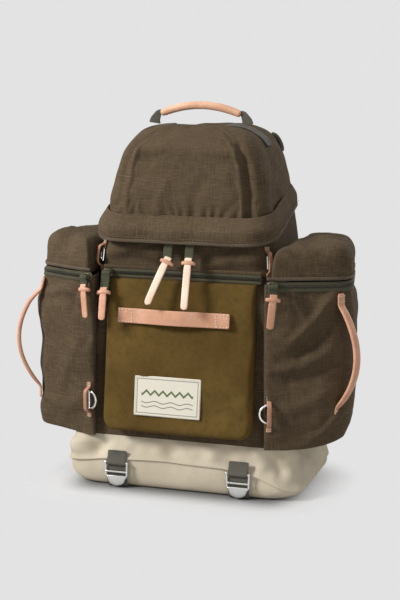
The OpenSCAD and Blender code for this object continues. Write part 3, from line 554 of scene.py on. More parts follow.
def lid_ring(share):
    scale = (1 - 0.2 * share) * (1 - share ** 8) ** 0.25
    ring = lid_mid + (lid_foot - lid_mid) * [1, 1, 0] * scale
    return ring + up * (lid_foot[:, 2:] + (lid_top - lid_foot[:, 2:]) * share)


def capped(rows, crown, steps):
    """The rows of a dome with more rows that close in on its crown."""
    return np.array(rows + [crown + (rows[-1] - crown) * [near, near, near ** 2] for near in steps])


lid_shares = [*np.linspace(0, 0.8, 21), 0.83, 0.86, 0.89, 0.915, 0.94, 0.96, 0.975, 0.986, 0.993]
lid_rows = capped([lid_ring(share) for share in lid_shares], lid_mid + up * (lid_top + 1.5),
                  (0.85, 0.68, 0.5, 0.32, 0.15))
lid_out = facing(lid_rows, True)
lid_flat = lid_rows[:, :, [0, 2]]
lid_front = np.clip((-lid_out[:, :, 1] - 0.25) / 0.3, 0, 1)
seams = folds(lid_flat, *((1, 2.8, (s * 77, 335), (s * 75, 380), (s * 70, 415), (s * 62, 434))
                          for s in (-1, 1)))
pleats = folds(lid_flat, *((depth, 3.8, (s * 85, 335), (s * 83, 380), (s * 77, 415), (s * 66, 438))
                           for s, depth in ((-1, -3), (1, -11))))
puckers = np.sin(lid_flat[:, :, 0] / 2.3 + 5 * billow(lid_rows, 26, 4.4))
gathers = puckers * np.exp(-((lid_flat[:, :, 1] - 350) / 11) ** 2)
bends = folds(lid_flat, (4, 6, (-64, 427), (-30, 431), (20, 431), (64, 426)),
              (-2.6, 9, (-60, 447), (60, 447)), (1.4, 6, (-34, 352), (-30, 372), (-22, 392)),
              (-1.5, 7, (10, 350), (16, 376), (28, 396)))
lid_shape = (3 * seams + pleats + 1.9 * gathers + bends) * lid_front
lid_shape += 1.7 * billow(lid_rows, 15, 5.2) + 0.5 * billow(lid_rows, 50, 8.3)
free = np.clip(np.arange(len(lid_rows)) / 4, 0, 1)[:, None]
lid_rows += lid_out * (lid_shape * free)[:, :, None]
held = (seams * lid_front > 0.5).astype(float)
held[0] = 1
for column in (20, 40, 140, 160):
    held[16:32, column - 6:column + 7] = 1
shell("lid_shell", lid_rows, canvas, "lid", "canvas", "lid", around=True, lids=(False, True), wall=2.4,
      held=[*held.ravel(), 0], puff=(0.5, 0.012, 2))


# Cuff: a rolled canvas flap, sewn to the lid all round above the zip and bound along its lower edge.
# It stands off more at the front than at the sides.
stand = 5 + 13 * level_out[:, 1:2] ** 2
seat = lid_ring(0.125)


def cuff_line(out, lift):
    return rim + level_out * (stand + out) + up * lift


cuff_seam, cuff_swell = seat + level_out * 3 + up * 2.2, cuff_line(2.4, 5.5)
cuff_section = [cuff_line(0.2, -10.4), cuff_line(-0.4, -3), cuff_line(-1.2, 4.4),
                (cuff_line(-1, 6) + seat) / 2, seat, cuff_seam - level_out * 0.6, cuff_seam,
                cuff_seam * 0.9 + cuff_swell * 0.1, cuff_seam * 0.45 + cuff_swell * 0.55, cuff_swell,
                cuff_line(3.1, 0), cuff_line(3.2, -5), cuff_line(2.9, -9.6), cuff_line(1.6, -11.4)]
cuff_rows = np.array(cuff_section).transpose(1, 0, 2)[cuff_run]
slack = billow(cuff_rows, 18, 2.6) * 1.3 + billow(cuff_rows, 60, 6.1) * 0.5
slack *= [0, 0, 0, 0, 0, 0.2, 0.2, 0.5, 1, 1, 1, 0.9, 0.6, 0.3]
cuff_rows = cuff_rows + (level_out * 0.9 + up * 0.3)[cuff_run][:, None] * slack[:, :, None]
shell("cuff_shell", cuff_rows, canvas, "lid", "canvas", "lid_cuff", around=True, lids=(True, True))


def ribbon(name, path, across, width, thick, material, body, slot, *stands_for, square=4.0, around=14):
    """A strap, tape or tube along a path, of a rounded oblong section whose width lies along across."""
    path, across = np.array(path, float), np.array(across, float)
    along = unit(np.gradient(path, axis=0))
    across = unit(across - along * (across * along).sum(1, keepdims=True))
    out = np.cross(along, across)
    turn = 2 * np.pi * (np.arange(around) + 0.5) / around
    wide, deep = (np.sign(f) * np.abs(f) ** (2 / square) for f in (np.cos(turn), np.sin(turn)))
    half_wide, half_deep = (np.broadcast_to(v, len(path))[:, None, None] / 2 for v in (width, thick))
    rows = path[:, None] + across[:, None] * wide[:, None] * half_wide
    rows += out[:, None] * deep[:, None] * half_deep
    return shell(name, rows, material, body, slot, *stands_for, around=True, lids=(True, True))


def spun(name, dark, light, rough):
    return finish(name, lambda tone, uv, place: {
        "Base Color": place.grain(260).between(dark, light), "Roughness": rough})


binding = woven("canvas_binding", (110, 94, 74), (70, 58, 44), 1.2, 0.0003)
cuff_lip = cuff_line(1.6, -10.4)[cuff_run]
ribbon("cuff_binding", cuff_lip, up, 5, 3.8, binding, "lid", "canvas", square=3, around=10)
brown_thread = spun("brown_thread", (92, 78, 58), (122, 104, 80), 0.8)
beads("cuff_stitches", [cuff_line(3.7, -6.4)[cuff_run]], 4.2, (3, 0.8, 0.8), brown_thread, "lid", "canvas")
upper_tape = np.array([lid_foot + level_out * 0.8 + up * lift for lift in (-0.4, 4, 9)])
shell("lid_zip_tape", upper_tape[:, cuff_run], zip_tape, "lid", "zip_tape", levels=0, wall=0.6)


# Back seam: a canvas hinge that joins the lid to the body behind the zip's two ends.
def hinged(name, rows, body, flap, start, end):
    """A strip of canvas through the rows given. body, flap, start and end are not used: the strip is not
    attached to either body and does not bend.
    """
    strip = smooth(patch(name, rows, canvas), 1, 0.8)
    tuple(start * mm)
    tuple(end * mm)
    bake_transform(strip)


back_run = np.r_[cuff_to - 1:len(rim), 0:cuff_from + 2]
plane = unit(np.array([0, -rim_slope, 1]))
seam_rows = np.array([rim + level_out * out + plane * lift for out, lift in
                      ((0.4, -9), (1.3, -8), (1.4, -3), (1.6, 0), (1.4, 3), (1.2, 8), (0.2, 9))])
hinge = np.array([0, rim_back_y + 0.5, rim_back_z])
hinged("back_seam", seam_rows[:, back_run], "pack", "lid", hinge - plane * 3, hinge + plane * 3)


# Top handle: a leather-wrapped grip between two pieces of grey webbing, whose tails are sewn to the lid.
# Two folded webbing tabs sit on the lid's back shoulders.
def tanned(name, light, deep, edge, coat, gloss):
    """Vegetable-tanned leather: fine pores, slow stains and a little polish."""
    def make(tone, uv, place):
        pores = tone.node("ShaderNodeTexVoronoi", {}, {"Vector": place, "Scale": 900.0})
        stain, fibre = place.grain(38, 3), place.grain(420)
        ground = stain.above(0.32, 0.68).between(light, deep)
        rubbed = fibre.above(0.55, 0.85).between(ground, edge)
        return {"Base Color": rubbed, "Roughness": 0.46 + 0.22 * stain, "height": pores * 0.6 + fibre * 0.5}
    return finish(name, make, 0.0003, **{"Coat Weight": coat, "Coat Roughness": gloss})


leather = tanned("veg_tan_leather", (220, 166, 134), (204, 147, 115), (230, 192, 164), 0.08, 0.35)
# A shaded copy of the leather: darker colours that paint the shade in which the ring loops sit.
shaded_leather = tanned("shaded_leather", (196, 143, 114), (172, 122, 96), (206, 166, 140), 0.05, 0.4)
# A lit copy of the leather: paler colours that paint the highlight on the main pulls.
lit_leather = tanned("lit_leather", (253, 226, 202), (246, 211, 184), (254, 238, 220), 0.08, 0.35)
grip_leather = tanned("grip_leather", (232, 184, 150), (212, 160, 128), (240, 204, 174), 0.06, 0.4)
webbing = woven("grey_webbing", (116, 111, 100), (66, 63, 56), 1.9, 0.0005)
cream_thread = spun("cream_thread", (222, 210, 188), (244, 236, 220), 0.75)


def curve(points, steps=8):
    """A smooth line through a few points."""
    p = np.array(points, float)
    p = np.vstack([2 * p[0] - p[1], p, 2 * p[-1] - p[-2]])
    t = (np.arange(steps) / steps)[:, None]
    parts = [0.5 * (2 * b + (c - a) * t + (2 * a - 5 * b + 4 * c - d) * t ** 2
                    + (3 * b - a - 3 * c + d) * t ** 3) for a, b, c, d in zip(p, p[1:], p[2:], p[3:])]
    return np.vstack([*parts, p[-2]])


def spaced(path, shares, sizes):
    """A size for each point of a path, from sizes at shares of its count."""
    return np.interp(np.linspace(0, 1, len(path)), shares, sizes)


along_x = (1, 0, 0)
handle_y, grip_half = -15, 53
grip_x = np.linspace(-grip_half, grip_half, 33)
grip_path = np.column_stack([grip_x, np.full(33, handle_y), 472 + 11 * (1 - (grip_x / grip_half) ** 2)])
grip_size = 10.2 - 1.8 * np.abs(grip_x / grip_half) ** 6
ribbon("grip_cover", grip_path, (0, 1, 0), grip_size, grip_size, grip_leather, "top_handle", "leather",
       "handle_grip", square=2.2, around=16)
grip_seam = grip_path[2:-2] + [0, 2.6, -4.8]
beads("grip_stitches", [grip_seam], 4, (2.8, 0.9, 0.9), cream_thread, "top_handle", "leather")
foot_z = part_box("handle_webbing")[0][2] / mm
foot_line = ((62, foot_z), (61.4, foot_z + 4), (59.5, foot_z + 8), (56.5, 472.2), (52, 474))
for side, column, web_node, tail_node in ((-1, 40, ["handle_webbing"], ["handle_tabs"]), (1, 140, [], [])):
    foot = curve([(side * x, handle_y, z) for x, z in foot_line])
    narrowing = spaced(foot, (0, 0.35, 0.8, 1), (16, 13, 8, 6))
    ribbon(f"handle_foot_{side}", foot, along_x, narrowing, 2, webbing, "top_handle", "webbing", *web_node,
           square=5)
    tail = (lid_rows + lid_out * 1.7)[19:31, column]
    ribbon(f"handle_tail_{side}", tail, (0, 1, 0), 24, 2, webbing, "lid", "webbing", *tail_node, square=5)
tab_bow = 1.6 + 2.4 * np.sin(np.linspace(0, math.pi, 8)) ** 0.6
for label, column, tab_node in (("left", 22, ["lid_tabs"]), ("right", 158, [])):
    tab_path = (lid_rows[14:22] + lid_out[14:22] * tab_bow[:, None, None])[:, column]
    tab_across = np.cross(up, level_out[column])
    ribbon(f"lid_tab_{label}", tab_path, tab_across, 11, 5, webbing, "lid", "webbing", *tab_node, square=5)


# Pulls: each slider has a folded green webbing tab on its bail, and a leather strap
# that is drawn through a leather ring at the tab's end.
green_webbing = woven("green_webbing", (92, 92, 66), (48, 50, 34), 1.5, 0.0004)
enamel = finish("slider_enamel", lambda tone, uv, place: {
    "Base Color": place.grain(220, 3).above(0.5, 0.75).between((70, 66, 50), (112, 106, 88)),
    "Metallic": 0.75, "Roughness": 0.3 + 0.25 * place.grain(160)})
bail_half = [(-6.2, 3.5), (-6.2, 6), (-5.9, 8), (-4.5, 8.3)]
bail_line = bail_half + [(0, 8.3)] + [(-x, y) for x, y in bail_half[::-1]]


def slider(name, place, right, rise):
    """A zip slider: a waisted block, and the bail that holds its pull. place is on the zip's face."""
    right, rise = np.array(right, float), np.array(rise, float)
    out = np.cross(right, rise)
    angle = 2 * np.pi * np.arange(20) / 20
    wide, tall = (np.sign(f) * np.abs(f) ** 0.55 for f in (np.cos(angle), np.sin(angle)))
    plate = right * wide[:, None] * 7 + rise * tall[:, None] * 6
    middle = place - rise * 4
    steps = ((0.3, 0.85), (0.5, 0.97), (1.7, 0.97), (2.1, 0.8),
             (3.2, 0.8), (3.6, 0.92), (4.9, 0.88), (5.3, 0.72))
    rows = np.array([middle + out * depth + plate * size for depth, size in steps])
    shell(name + "_block", rows, enamel, name, "slider_metal", name, around=True, lids=(True, True))
    bail = curve([middle + right * x + out * y for x, y in bail_line], 4)
    ribbon(name + "_bail", bail, rise, 2.3, 2.3, enamel, name, "slider_metal", square=2, around=10)
    return middle + out * 8.3


def pull(name, bar, down, right, tab, strap, splay, hide):
    """A webbing tab over the bar and a leather strap that hangs from it at an angle, each of its length."""
    down, right = np.array(down, float), np.array(right, float)
    out = np.cross(down, right)
    half = [(-tab, 0.9), (-tab * 0.5, 0.8), (-4, 1.1), (-1, 2.3), (1.6, 1.7)]
    over_bar = [(z, -o) for z, o in half] + [(2.3, 0)] + half[::-1]
    path = curve([bar - down * z + out * o for z, o in over_bar], 5)
    ribbon(name + "_tab", path, right, 11.5, 1.3, green_webbing, name, "green_webbing",
           name.replace("_pull", "_loop"), square=5, around=12)
    lean = math.radians(splay)
    hang = down * math.cos(lean) - right * math.sin(lean)
    flat = right * math.cos(lean) + down * math.sin(lean)
    knot = bar + down * (tab - 1)
    head_line = ((-5.5, -0.4), (-5.2, 1.6), (-2, 2.4), (1.5, 1.8))
    head = curve([knot + hang * z + out * o for z, o in head_line], 5)
    ribbon(name + "_head", head, flat, 9.6, 2.2, hide, name, "leather", square=3, around=12)
    angle = np.radians(np.linspace(-35, 215, 15))[:, None]
    ring = knot + flat * 8.4 * np.cos(angle) + out * (3.4 * np.sin(angle) + 0.2)
    ring += hang * (1.2 - 1.2 * np.sin(angle))
    ring_size = spaced(ring, (0, 0.2, 0.5, 0.8, 1), (3.4, 4.4, 5.6, 4.4, 3.4))
    ribbon(name + "_ring", ring, hang, ring_size, 2.4, leather, name, "leather", square=2.4, around=12)
    tip = strap - 8
    stations = np.array([-1, 2, 6, tip * 0.3, tip * 0.6, tip - 9, tip - 4, tip - 1, tip])
    bow = 2.0 + 1.4 * np.sin(np.linspace(0, 2.4, len(stations)))
    swing = 3.0 * math.sin(lean) * np.sin(np.linspace(0, math.pi, len(stations)))
    path = curve([knot + hang * z + out * b - flat * w for z, b, w in zip(stations, bow, swing)], 5)
    width = spaced(path, (0, 0.15, 0.3, 0.78, 0.88, 0.96, 1), (7.6, 8.4, 9.8, 9.2, 7.6, 4, 1.6))
    ribbon(name + "_strap", path, flat, width, 2.6, hide, name, "leather", name, square=3.2, around=12)


front_lean = math.atan(12 / body_high)


def leaning(x, y, z, out, rise, lean):
    """Steps out of and up a face that leans back by an angle, as x, depth and height."""
    back, level = math.sin(lean), math.cos(lean)
    return x, y + out * level - rise * back, z + out * back + rise * level


def front(x, out, z):
    """A point of the front panel's own frame: out leaves the panel and z runs up it from the base."""
    x, out, z = np.broadcast_arrays(*leaning(x, 100, base_top, out, z, front_lean))
    return np.stack([x, -out, z], -1)


def hanging(lean):
    angle = front_lean + math.radians(lean)
    return 0, -math.sin(angle), -math.cos(angle)


front_up = (0, math.sin(front_lean), math.cos(front_lean))
for label, side, splay in (("left", -1, 20), ("right", 1, 0)):
    bar = slider(f"main_slider_{label}", front(side * 14, 1.6, 266.27), along_x, front_up)
    # The main pulls' heads and straps take the lit copy of the leather: a painted highlight.
    pull(f"main_pull_{label}", bar, hanging(13), along_x, 34, 66, splay, lit_leather)


# Front pocket: a suede pouch that is deeper at its foot, with rounded lower corners,
# closed by a zip across its top.
def napped(tone, uv, place):
    drift, brush, nap = place.grain(9), place.grain(130, 4, 0.65), place.grain(1500)
    ground = drift.above(0.34, 0.66).between((92, 71, 34), (106, 84, 43))
    brushed = (brush.above(0.4, 0.75) * 0.6).between(ground, (80, 62, 28))
    return {"Base Color": brushed, "Roughness": 0.9 + 0.08 * nap, "height": nap * 0.7 + brush * 0.3}


suede = finish("olive_suede", napped, 0.0006, **{"Specular IOR Level": 0.12})
pocket_half, pocket_high, pocket_foot, pocket_round, pocket_depth, pocket_taper = 98, 194, 11, 18, 24, 18


def pocket_section(z):
    """The pocket's outline at a height: from the panel, round an edge, over the face and back again."""
    low = max(pocket_round - z, 0)
    half = pocket_half - (pocket_round - math.sqrt(pocket_round ** 2 - low ** 2))
    deep = pocket_depth - pocket_taper * z / pocket_high
    edge = min(8, deep)
    angle = np.radians(np.linspace(0, 90, 7))
    bend = np.column_stack([-half + edge - edge * np.cos(angle), deep - edge + edge * np.sin(angle)])
    walls = [(-half, d) for d in np.linspace(0, deep - edge, 4)[:-1]]
    face_x = np.linspace(-half + edge, half - edge, 46)[1:-1]
    face = np.column_stack([face_x, deep + 2.5 * np.cos(face_x / half * math.pi / 2)])
    left = np.vstack([walls, bend])
    return np.vstack([left, face, left[::-1] * [-1, 1]])


foot_ease = [(0.2, 0.03), (0.3, 0.35), (0.9, 0.66), (2.6, 0.86), (5.2, 0.96), (8.5, 1.0)]
head_ease = [(pocket_high - 0.6, 0.96), (pocket_high + 0.4, 0.6), (pocket_high + 0.5, 0.05)]
pocket_rows = []
for z, share in foot_ease + [(z, 1.0) for z in np.linspace(13, 186, 42)] + head_ease:
    plan = pocket_section(min(z, pocket_high))
    pocket_rows.append(front(plan[:, 0], 0.2 + plan[:, 1] * share, pocket_foot + z))
pocket_rows = np.array(pocket_rows)
pocket_out = facing(pocket_rows, False)
pocket_front = np.clip((-pocket_out[:, :, 1] - 0.7) / 0.2, 0, 1)
pocket_shape = 1.5 * billow(pocket_rows, 15, 7.7) + 0.7 * billow(pocket_rows, 44, 3.3)
pocket_shape += folds(pocket_rows[:, :, [0, 2]], (-1.5, 8, (-70, 212), (-30, 216), (40, 211), (75, 214)),
                      (1.6, 9, (-84, 118), (-70, 100), (-60, 88)), (1.6, 9, (86, 124), (74, 102), (64, 90)))
pocket_rows += pocket_out * (pocket_shape * pocket_front)[:, :, None]
held = (1 - pocket_front > 0.5).astype(float)
held[:8], held[-4:] = 1, 1
shell("pocket_pouch", pocket_rows, suede, "pack", "suede", "front_pocket",
      held=held.ravel(), puff=(2.0, 0.012, 3))
front_x = np.linspace(-104, 104, 71)
tape_wave = 0.7 * np.sin(front_x / 17) + 0.4 * np.sin(front_x / 7 + 1)
tape_section = ((1.1, 205.4), (1.9, 206), (2.1, 209.4), (1.1, 210.2),
                (1.1, 212.8), (2.1, 213.6), (1.9, 217.2), (1, 217.8))
front_tape = np.array([front(front_x, out + 0.3 * tape_wave, z) for out, z in tape_section])
shell("front_zip_tape", front_tape, zip_tape, "pack", "zip_tape", "front_zip", levels=0, wall=0.8)
front_teeth = front(front_x, 2.1 + 0.3 * tape_wave, 211.6)
beads("front_zip_teeth", [front_teeth], 1.8, (1.2, 4, 2), coil, "pack", "zip_tape")
welt_line = front(front_x, 1.8 + 0.4 * tape_wave, 219.6)
ribbon("front_zip_welt", welt_line, front_up, 4.6, 2.8, canvas, "pack", "canvas", square=2.6, around=10)
front_bar = slider("front_slider", front(-97, 3, 215.6), along_x, front_up)
pull("front_pull", front_bar, hanging(19), along_x, 26, 44, -4, leather)


# Strip and label: a slack leather strip sewn across the pocket for lashing, and a woven label below it.
# The label has a plain pattern of its own.
pocket_lean = math.atan(pocket_taper / pocket_high)


def on_suede(x, out, z):
    """A point of the pocket's face frame, from its lower edge."""
    return front(*leaning(x, pocket_depth + 0.2, pocket_foot, out, z, pocket_lean))


strip_x = np.array([-79.5, -74, -67, -58, -50, -38, -24, -11, 1, 13, 26, 37, 46, 54, 62, 67.5])
strip_bow = 8 * np.cos(np.clip((strip_x + 6) / 54, -1, 1) * math.pi / 2) ** 2
strip_path = curve(on_suede(strip_x, 4.6 + strip_bow, 149), 4)
strip_up = on_suede(0, 0, 1) - on_suede(0, 0, 0)
strip_out = on_suede(0, 1, 0) - on_suede(0, 0, 0)
ribbon("strip_leather", strip_path, strip_up, 19, 2.8, leather, "pack", "leather", "front_strip", square=6)


def strip_at(x, z):
    return strip_path[np.argmin(np.abs(strip_path[:, 0] - x))] + strip_up * z + strip_out * 1.6


strip_seams = [[strip_at(x, z) for z in (-7.5, -3, 3, 7.5)] for x in (-76.5, -61, 50, 53, 64.5)]
for seam_x in ((-76.5, -71, -66, -61), (53, 59, 64.5)):
    strip_seams += [[strip_at(x, z) for x in seam_x] for z in (-7.5, 7.5)]
beads("strip_stitches", strip_seams, 3.4, (2.6, 0.9, 0.9), cream_thread, "pack", "leather")


def label_design(tone, uv, place):
    across, rise, _ = uv.split()
    zig = (across * (1 / 0.011)).math("PINGPONG", 0.5) * 0.011
    chevron = (rise - 0.027 - zig).math("ABSOLUTE")
    wave = (across * (2 * math.pi / 0.022)).math("SINE") * 0.0012
    first, second = ((rise - z - wave).math("ABSOLUTE") for z in (0.018, 0.0125))
    lines = first.math("MINIMUM", second)
    edge_x = (across - 0.044).math("ABSOLUTE")
    edge_z = (rise - 0.0255).math("ABSOLUTE")
    frame_line = (edge_x - 0.0400).math("MAXIMUM", edge_z - 0.0215).math("ABSOLUTE")
    inside = 1 - edge_x.above(0.034, 0.0345)
    weave = uv.grain(1500, 1)
    cream = weave.above(0.3, 0.8).between((226, 219, 200), (240, 235, 220))
    green = ((1 - chevron.above(0.0014, 0.0019)) * inside).between(cream, (96, 110, 70))
    grey = ((1 - lines.above(0.0005, 0.0008)) * inside).between(green, (140, 138, 128))
    drawn = (1 - frame_line.above(0.0004, 0.0007)).between(grey, (150, 148, 138))
    return {"Base Color": drawn, "Roughness": 0.85 - 0.1 * weave, "height": weave}


label_cloth = finish("woven_label", label_design, 0.0002)
label_x = np.linspace(-54, 34, 23)
label_rows = np.array([on_suede(label_x, 3.6 + 0.4 * np.sin(label_x / 21 + z / 30), z)
                       for z in np.linspace(24, 75, 14)])
shell("label_weave", label_rows, label_cloth, "pack", "label", "label_patch", wall=1)
label_edge = [on_suede(np.linspace(-52.6, 32.6, 24), 4, z) for z in (25.4, 73.6)]
label_edge += [on_suede(x, 4, np.linspace(25.4, 73.6, 14)) for x in (-52.6, 32.6)]
beads("label_stitches", label_edge, 3, (2.2, 0.7, 0.7), cream_thread, "pack", "label")


# Side pockets: filled canvas pouches that hang on the sides of the body, each with a boxed top
# that a zip closes, a leather carry handle, and leather loops that hold the rings.
def through(corners, spacing=4.0):
    """A closed outline through corners (x, y, reach): reach is how far the rounding runs each way."""
    points = []
    for before, at, after in zip(corners[-1:] + corners[:-1], corners, corners[1:] + corners[:1]):
        a, b, c = (np.array(p[:2], float) for p in (before, at, after))
        start, end = b + unit(a - b) * at[2], b + unit(c - b) * at[2]
        steps = max(2, int(at[2] / 2))
        for t in np.arange(steps + 1) / steps:
            points.append((1 - t) ** 2 * start + 2 * t * (1 - t) * b + t ** 2 * end)
        goal = c + unit(b - c) * after[2]
        count = max(1, round(np.linalg.norm(goal - end) / spacing))
        points += [end + (goal - end) * i / count for i in range(1, count)]
    return np.array(points)


corner_a, corner_b, corner_c, side_back = np.array([110, -112]), np.array([212, -72]), np.array([188, 50]), 50
outer_corners = [(*corner_b, 24), (*corner_c, 16)]
face_dir = unit(corner_b - corner_a)
face_out = np.array([face_dir[1], -face_dir[0]])
side_mid = np.array([167, -31])
pouch_columns = 96


def body_corner(z):
    """The body at a height: its half width, the radius of its front corners and the place of its front."""
    share = (z - base_top) / body_high
    return 150 - 39 * share, 24 + 8 * share, -100 + 12 * share


def pouch_plan(z):
    half, r, front_y = body_corner(z)
    half, r = max(half + 1.6, 122), r + 1.6
    middle = half - r, front_y + r - 1.6
    swing = math.acos(min(max((117 - middle[0]) / r, 0), 0.95))
    angles = swing * np.linspace(0.1, 1, 4)
    bend = [(middle[0] + r * math.cos(a), middle[1] - r * math.sin(a), 1.5) for a in angles]
    lip = (114, middle[1] - math.sqrt(r ** 2 - max(114 - middle[0], 0) ** 2), 1)
    return through([(*corner_a, 5), *outer_corners, (half, side_back, 3), *bend, lip])


def even(plan):
    """The same outline with evenly spread points, as many as a pouch has columns."""
    ring = np.vstack([plan, plan[:1]])
    run_length = np.concatenate([[0], np.cumsum(np.linalg.norm(np.diff(ring, axis=0), axis=1))])
    goal = np.linspace(0, run_length[-1], pouch_columns, endpoint=False)
    return np.column_stack([np.interp(goal, run_length, ring[:, i]) for i in (0, 1)])


def on_face(rows):
    """The points as they lie along the pocket's front face and in height."""
    return np.stack([(rows[:, :, :2] - corner_a) @ face_dir, rows[:, :, 2]], -1)


pouch_levels = [(64.8, 0.92), (65.2, 0.95), (66.2, 0.97), (69, 0.985), (74, 0.995), (82, 1.0)]
pouch_levels += [(z, 1.0) for z in np.linspace(88, 273.2, 40)]
pouch_rows = []
for z, size in pouch_levels:
    plan = even(pouch_plan(z))
    outer = np.clip((plan[:, :1] - 130) / 40, 0, 1)
    pouch_rows.append(at_height(plan + (side_mid - plan) * (1 - size) * outer, z))
pouch_rows = np.array(pouch_rows)
pouch_out = facing(pouch_rows, True)
showing = np.clip((pouch_out @ [0.72, -0.5, 0] - 0.15) / 0.4, 0, 1)
pouch_flat = on_face(pouch_rows)
pouch_shapes = {
    "left": folds(pouch_flat,
                  (2.2, 8, (10, 240), (40, 250), (80, 244)), (-2.2, 6, (22, 258), (30, 244), (34, 228)),
                  (2.2, 9, (20, 112), (46, 98), (86, 104)), (2, 9, (22, 190), (40, 160), (52, 130))),
    "right": folds(pouch_flat,
                   (5, 6, (88, 264), (66, 234), (38, 206)), (-5.5, 7, (100, 246), (76, 214), (46, 190)),
                   (3.5, 5, (32, 268), (40, 248), (50, 232)), (-3, 6, (46, 270), (54, 252), (60, 240)),
                   (3.5, 8, (82, 192), (56, 177), (28, 168)), (-3, 8, (86, 173), (60, 160), (34, 154)),
                   (2.5, 9, (88, 142), (62, 128), (40, 118)), (3.5, 6, (54, 70), (82, 90), (106, 118)))}
rise_share = ((pouch_rows[:, :, 2] - base_top) / 209).clip(0, 1)
belly = 3.5 * np.sin(rise_share * math.pi) ** 0.8
near_ends = np.minimum(1, np.minimum(rise_share * 12, (1 - rise_share) * 12))
top_plan = even(through([(118, -108.9, 4), *outer_corners, (123, side_back, 4)]))
top_rows = []
for share in (0, 0.12, 0.25, 0.4, 0.52, 0.63, 0.73, 0.81, 0.88, 0.93, 0.965, 0.985):
    size = (1 - 0.07 * share) * (1 - share ** 7) ** 0.22
    inner_drop = 4.6 * ((146 - top_plan[:, 0]) / 20).clip(0, 1) * max(1 - share * 20, 0)
    top_rows.append(at_height(side_mid + (top_plan - side_mid) * size, 278.4 + 41.6 * share - inner_drop))
top_rows = capped(top_rows, np.array([*side_mid, 321]), (0.8, 0.6, 0.4, 0.2))
top_out = facing(top_rows, True)
top_flat = on_face(top_rows)
top_showing = np.clip((top_out @ [0.6, -0.5, 0.45] - 0.1) / 0.4, 0, 1)
top_free = np.clip(np.arange(len(top_rows)) / 3, 0, 1)[:, None]
top_shapes = {
    "left": folds(top_flat, (2.2, 6, (30, 284), (56, 300), (90, 318)), (-1.6, 8, (20, 300), (60, 312))),
    "right": folds(top_flat, (4.2, 3.4, (44, 321), (72, 303), (101, 285)), (2.2, 11, (84, 318), (104, 302)),
                   (-1.6, 5, (36, 314), (62, 298), (88, 283)))}
zip_plan = through([(*corner_a, 5), *outer_corners, (150, side_back, 3)])
along_face, off_face = (zip_plan - corner_a) @ face_dir, (zip_plan - corner_a) @ face_out
first = np.argmin(np.abs(along_face - 3) + 1e3 * (np.abs(off_face) > 1))
last = np.argmin(np.linalg.norm(zip_plan - [170, side_back], axis=1))
zip_line = zip_plan[first:last + 1]
zip_normal = unit(np.gradient(zip_line, axis=0)[:, ::-1] * [1, -1])
tape_section = ((0.5, 263.6), (1.3, 264.3), (1.5, 268.6), (0.8, 269.4), (0.8, 272.2), (1.4, 273),
                (0.2, 276.6))
tape_rows = np.array([at_height(zip_line + zip_normal * out, z) for out, z in tape_section])
hinge_x = np.linspace(184, 127, 15)
flap_section = ((0.5, 262), (1.3, 265), (1.5, 272), (1.7, 276), (1.5, 279), (0.9, 285), (0.1, 289))
flap_rows = np.array([[(x, side_back + out, z) for x in hinge_x] for out, z in flap_section])
loop_half = [(-23, 1.5), (-19, 1.5), (-16.5, 2.4), (-13.5, 7), (-10, 9)]
loop_line = loop_half + [(0, 9.4)] + [(-z, out) for z, out in loop_half[::-1]]


def sewn_loop(name, place, out, right, rise, half, body):
    """A leather loop sewn down at both ends, with room under it for a ring."""
    path = curve([place + rise * (z * half / 23) + out * o for z, o in loop_line], 4)
    wide = spaced(path, (0, 0.2, 0.5, 0.8, 1), (7, 6, 5.4, 6, 7))
    node = name.replace("_leather", "")
    # The loops take the shaded copy of the leather: painted shade.
    ribbon(name, path, right, wide, 2.4, shaded_leather, body, "leather", node, around=12)
    ends = [[place + rise * z + right * x + out * 3 for x in (-2.4, 0, 2.4)]
            for z in (1.5 - half, 4 - half, half - 4, half - 1.5)]
    beads(name + "_stitches", ends, 2.2, (1.8, 0.7, 0.7), cream_thread, body, "leather")


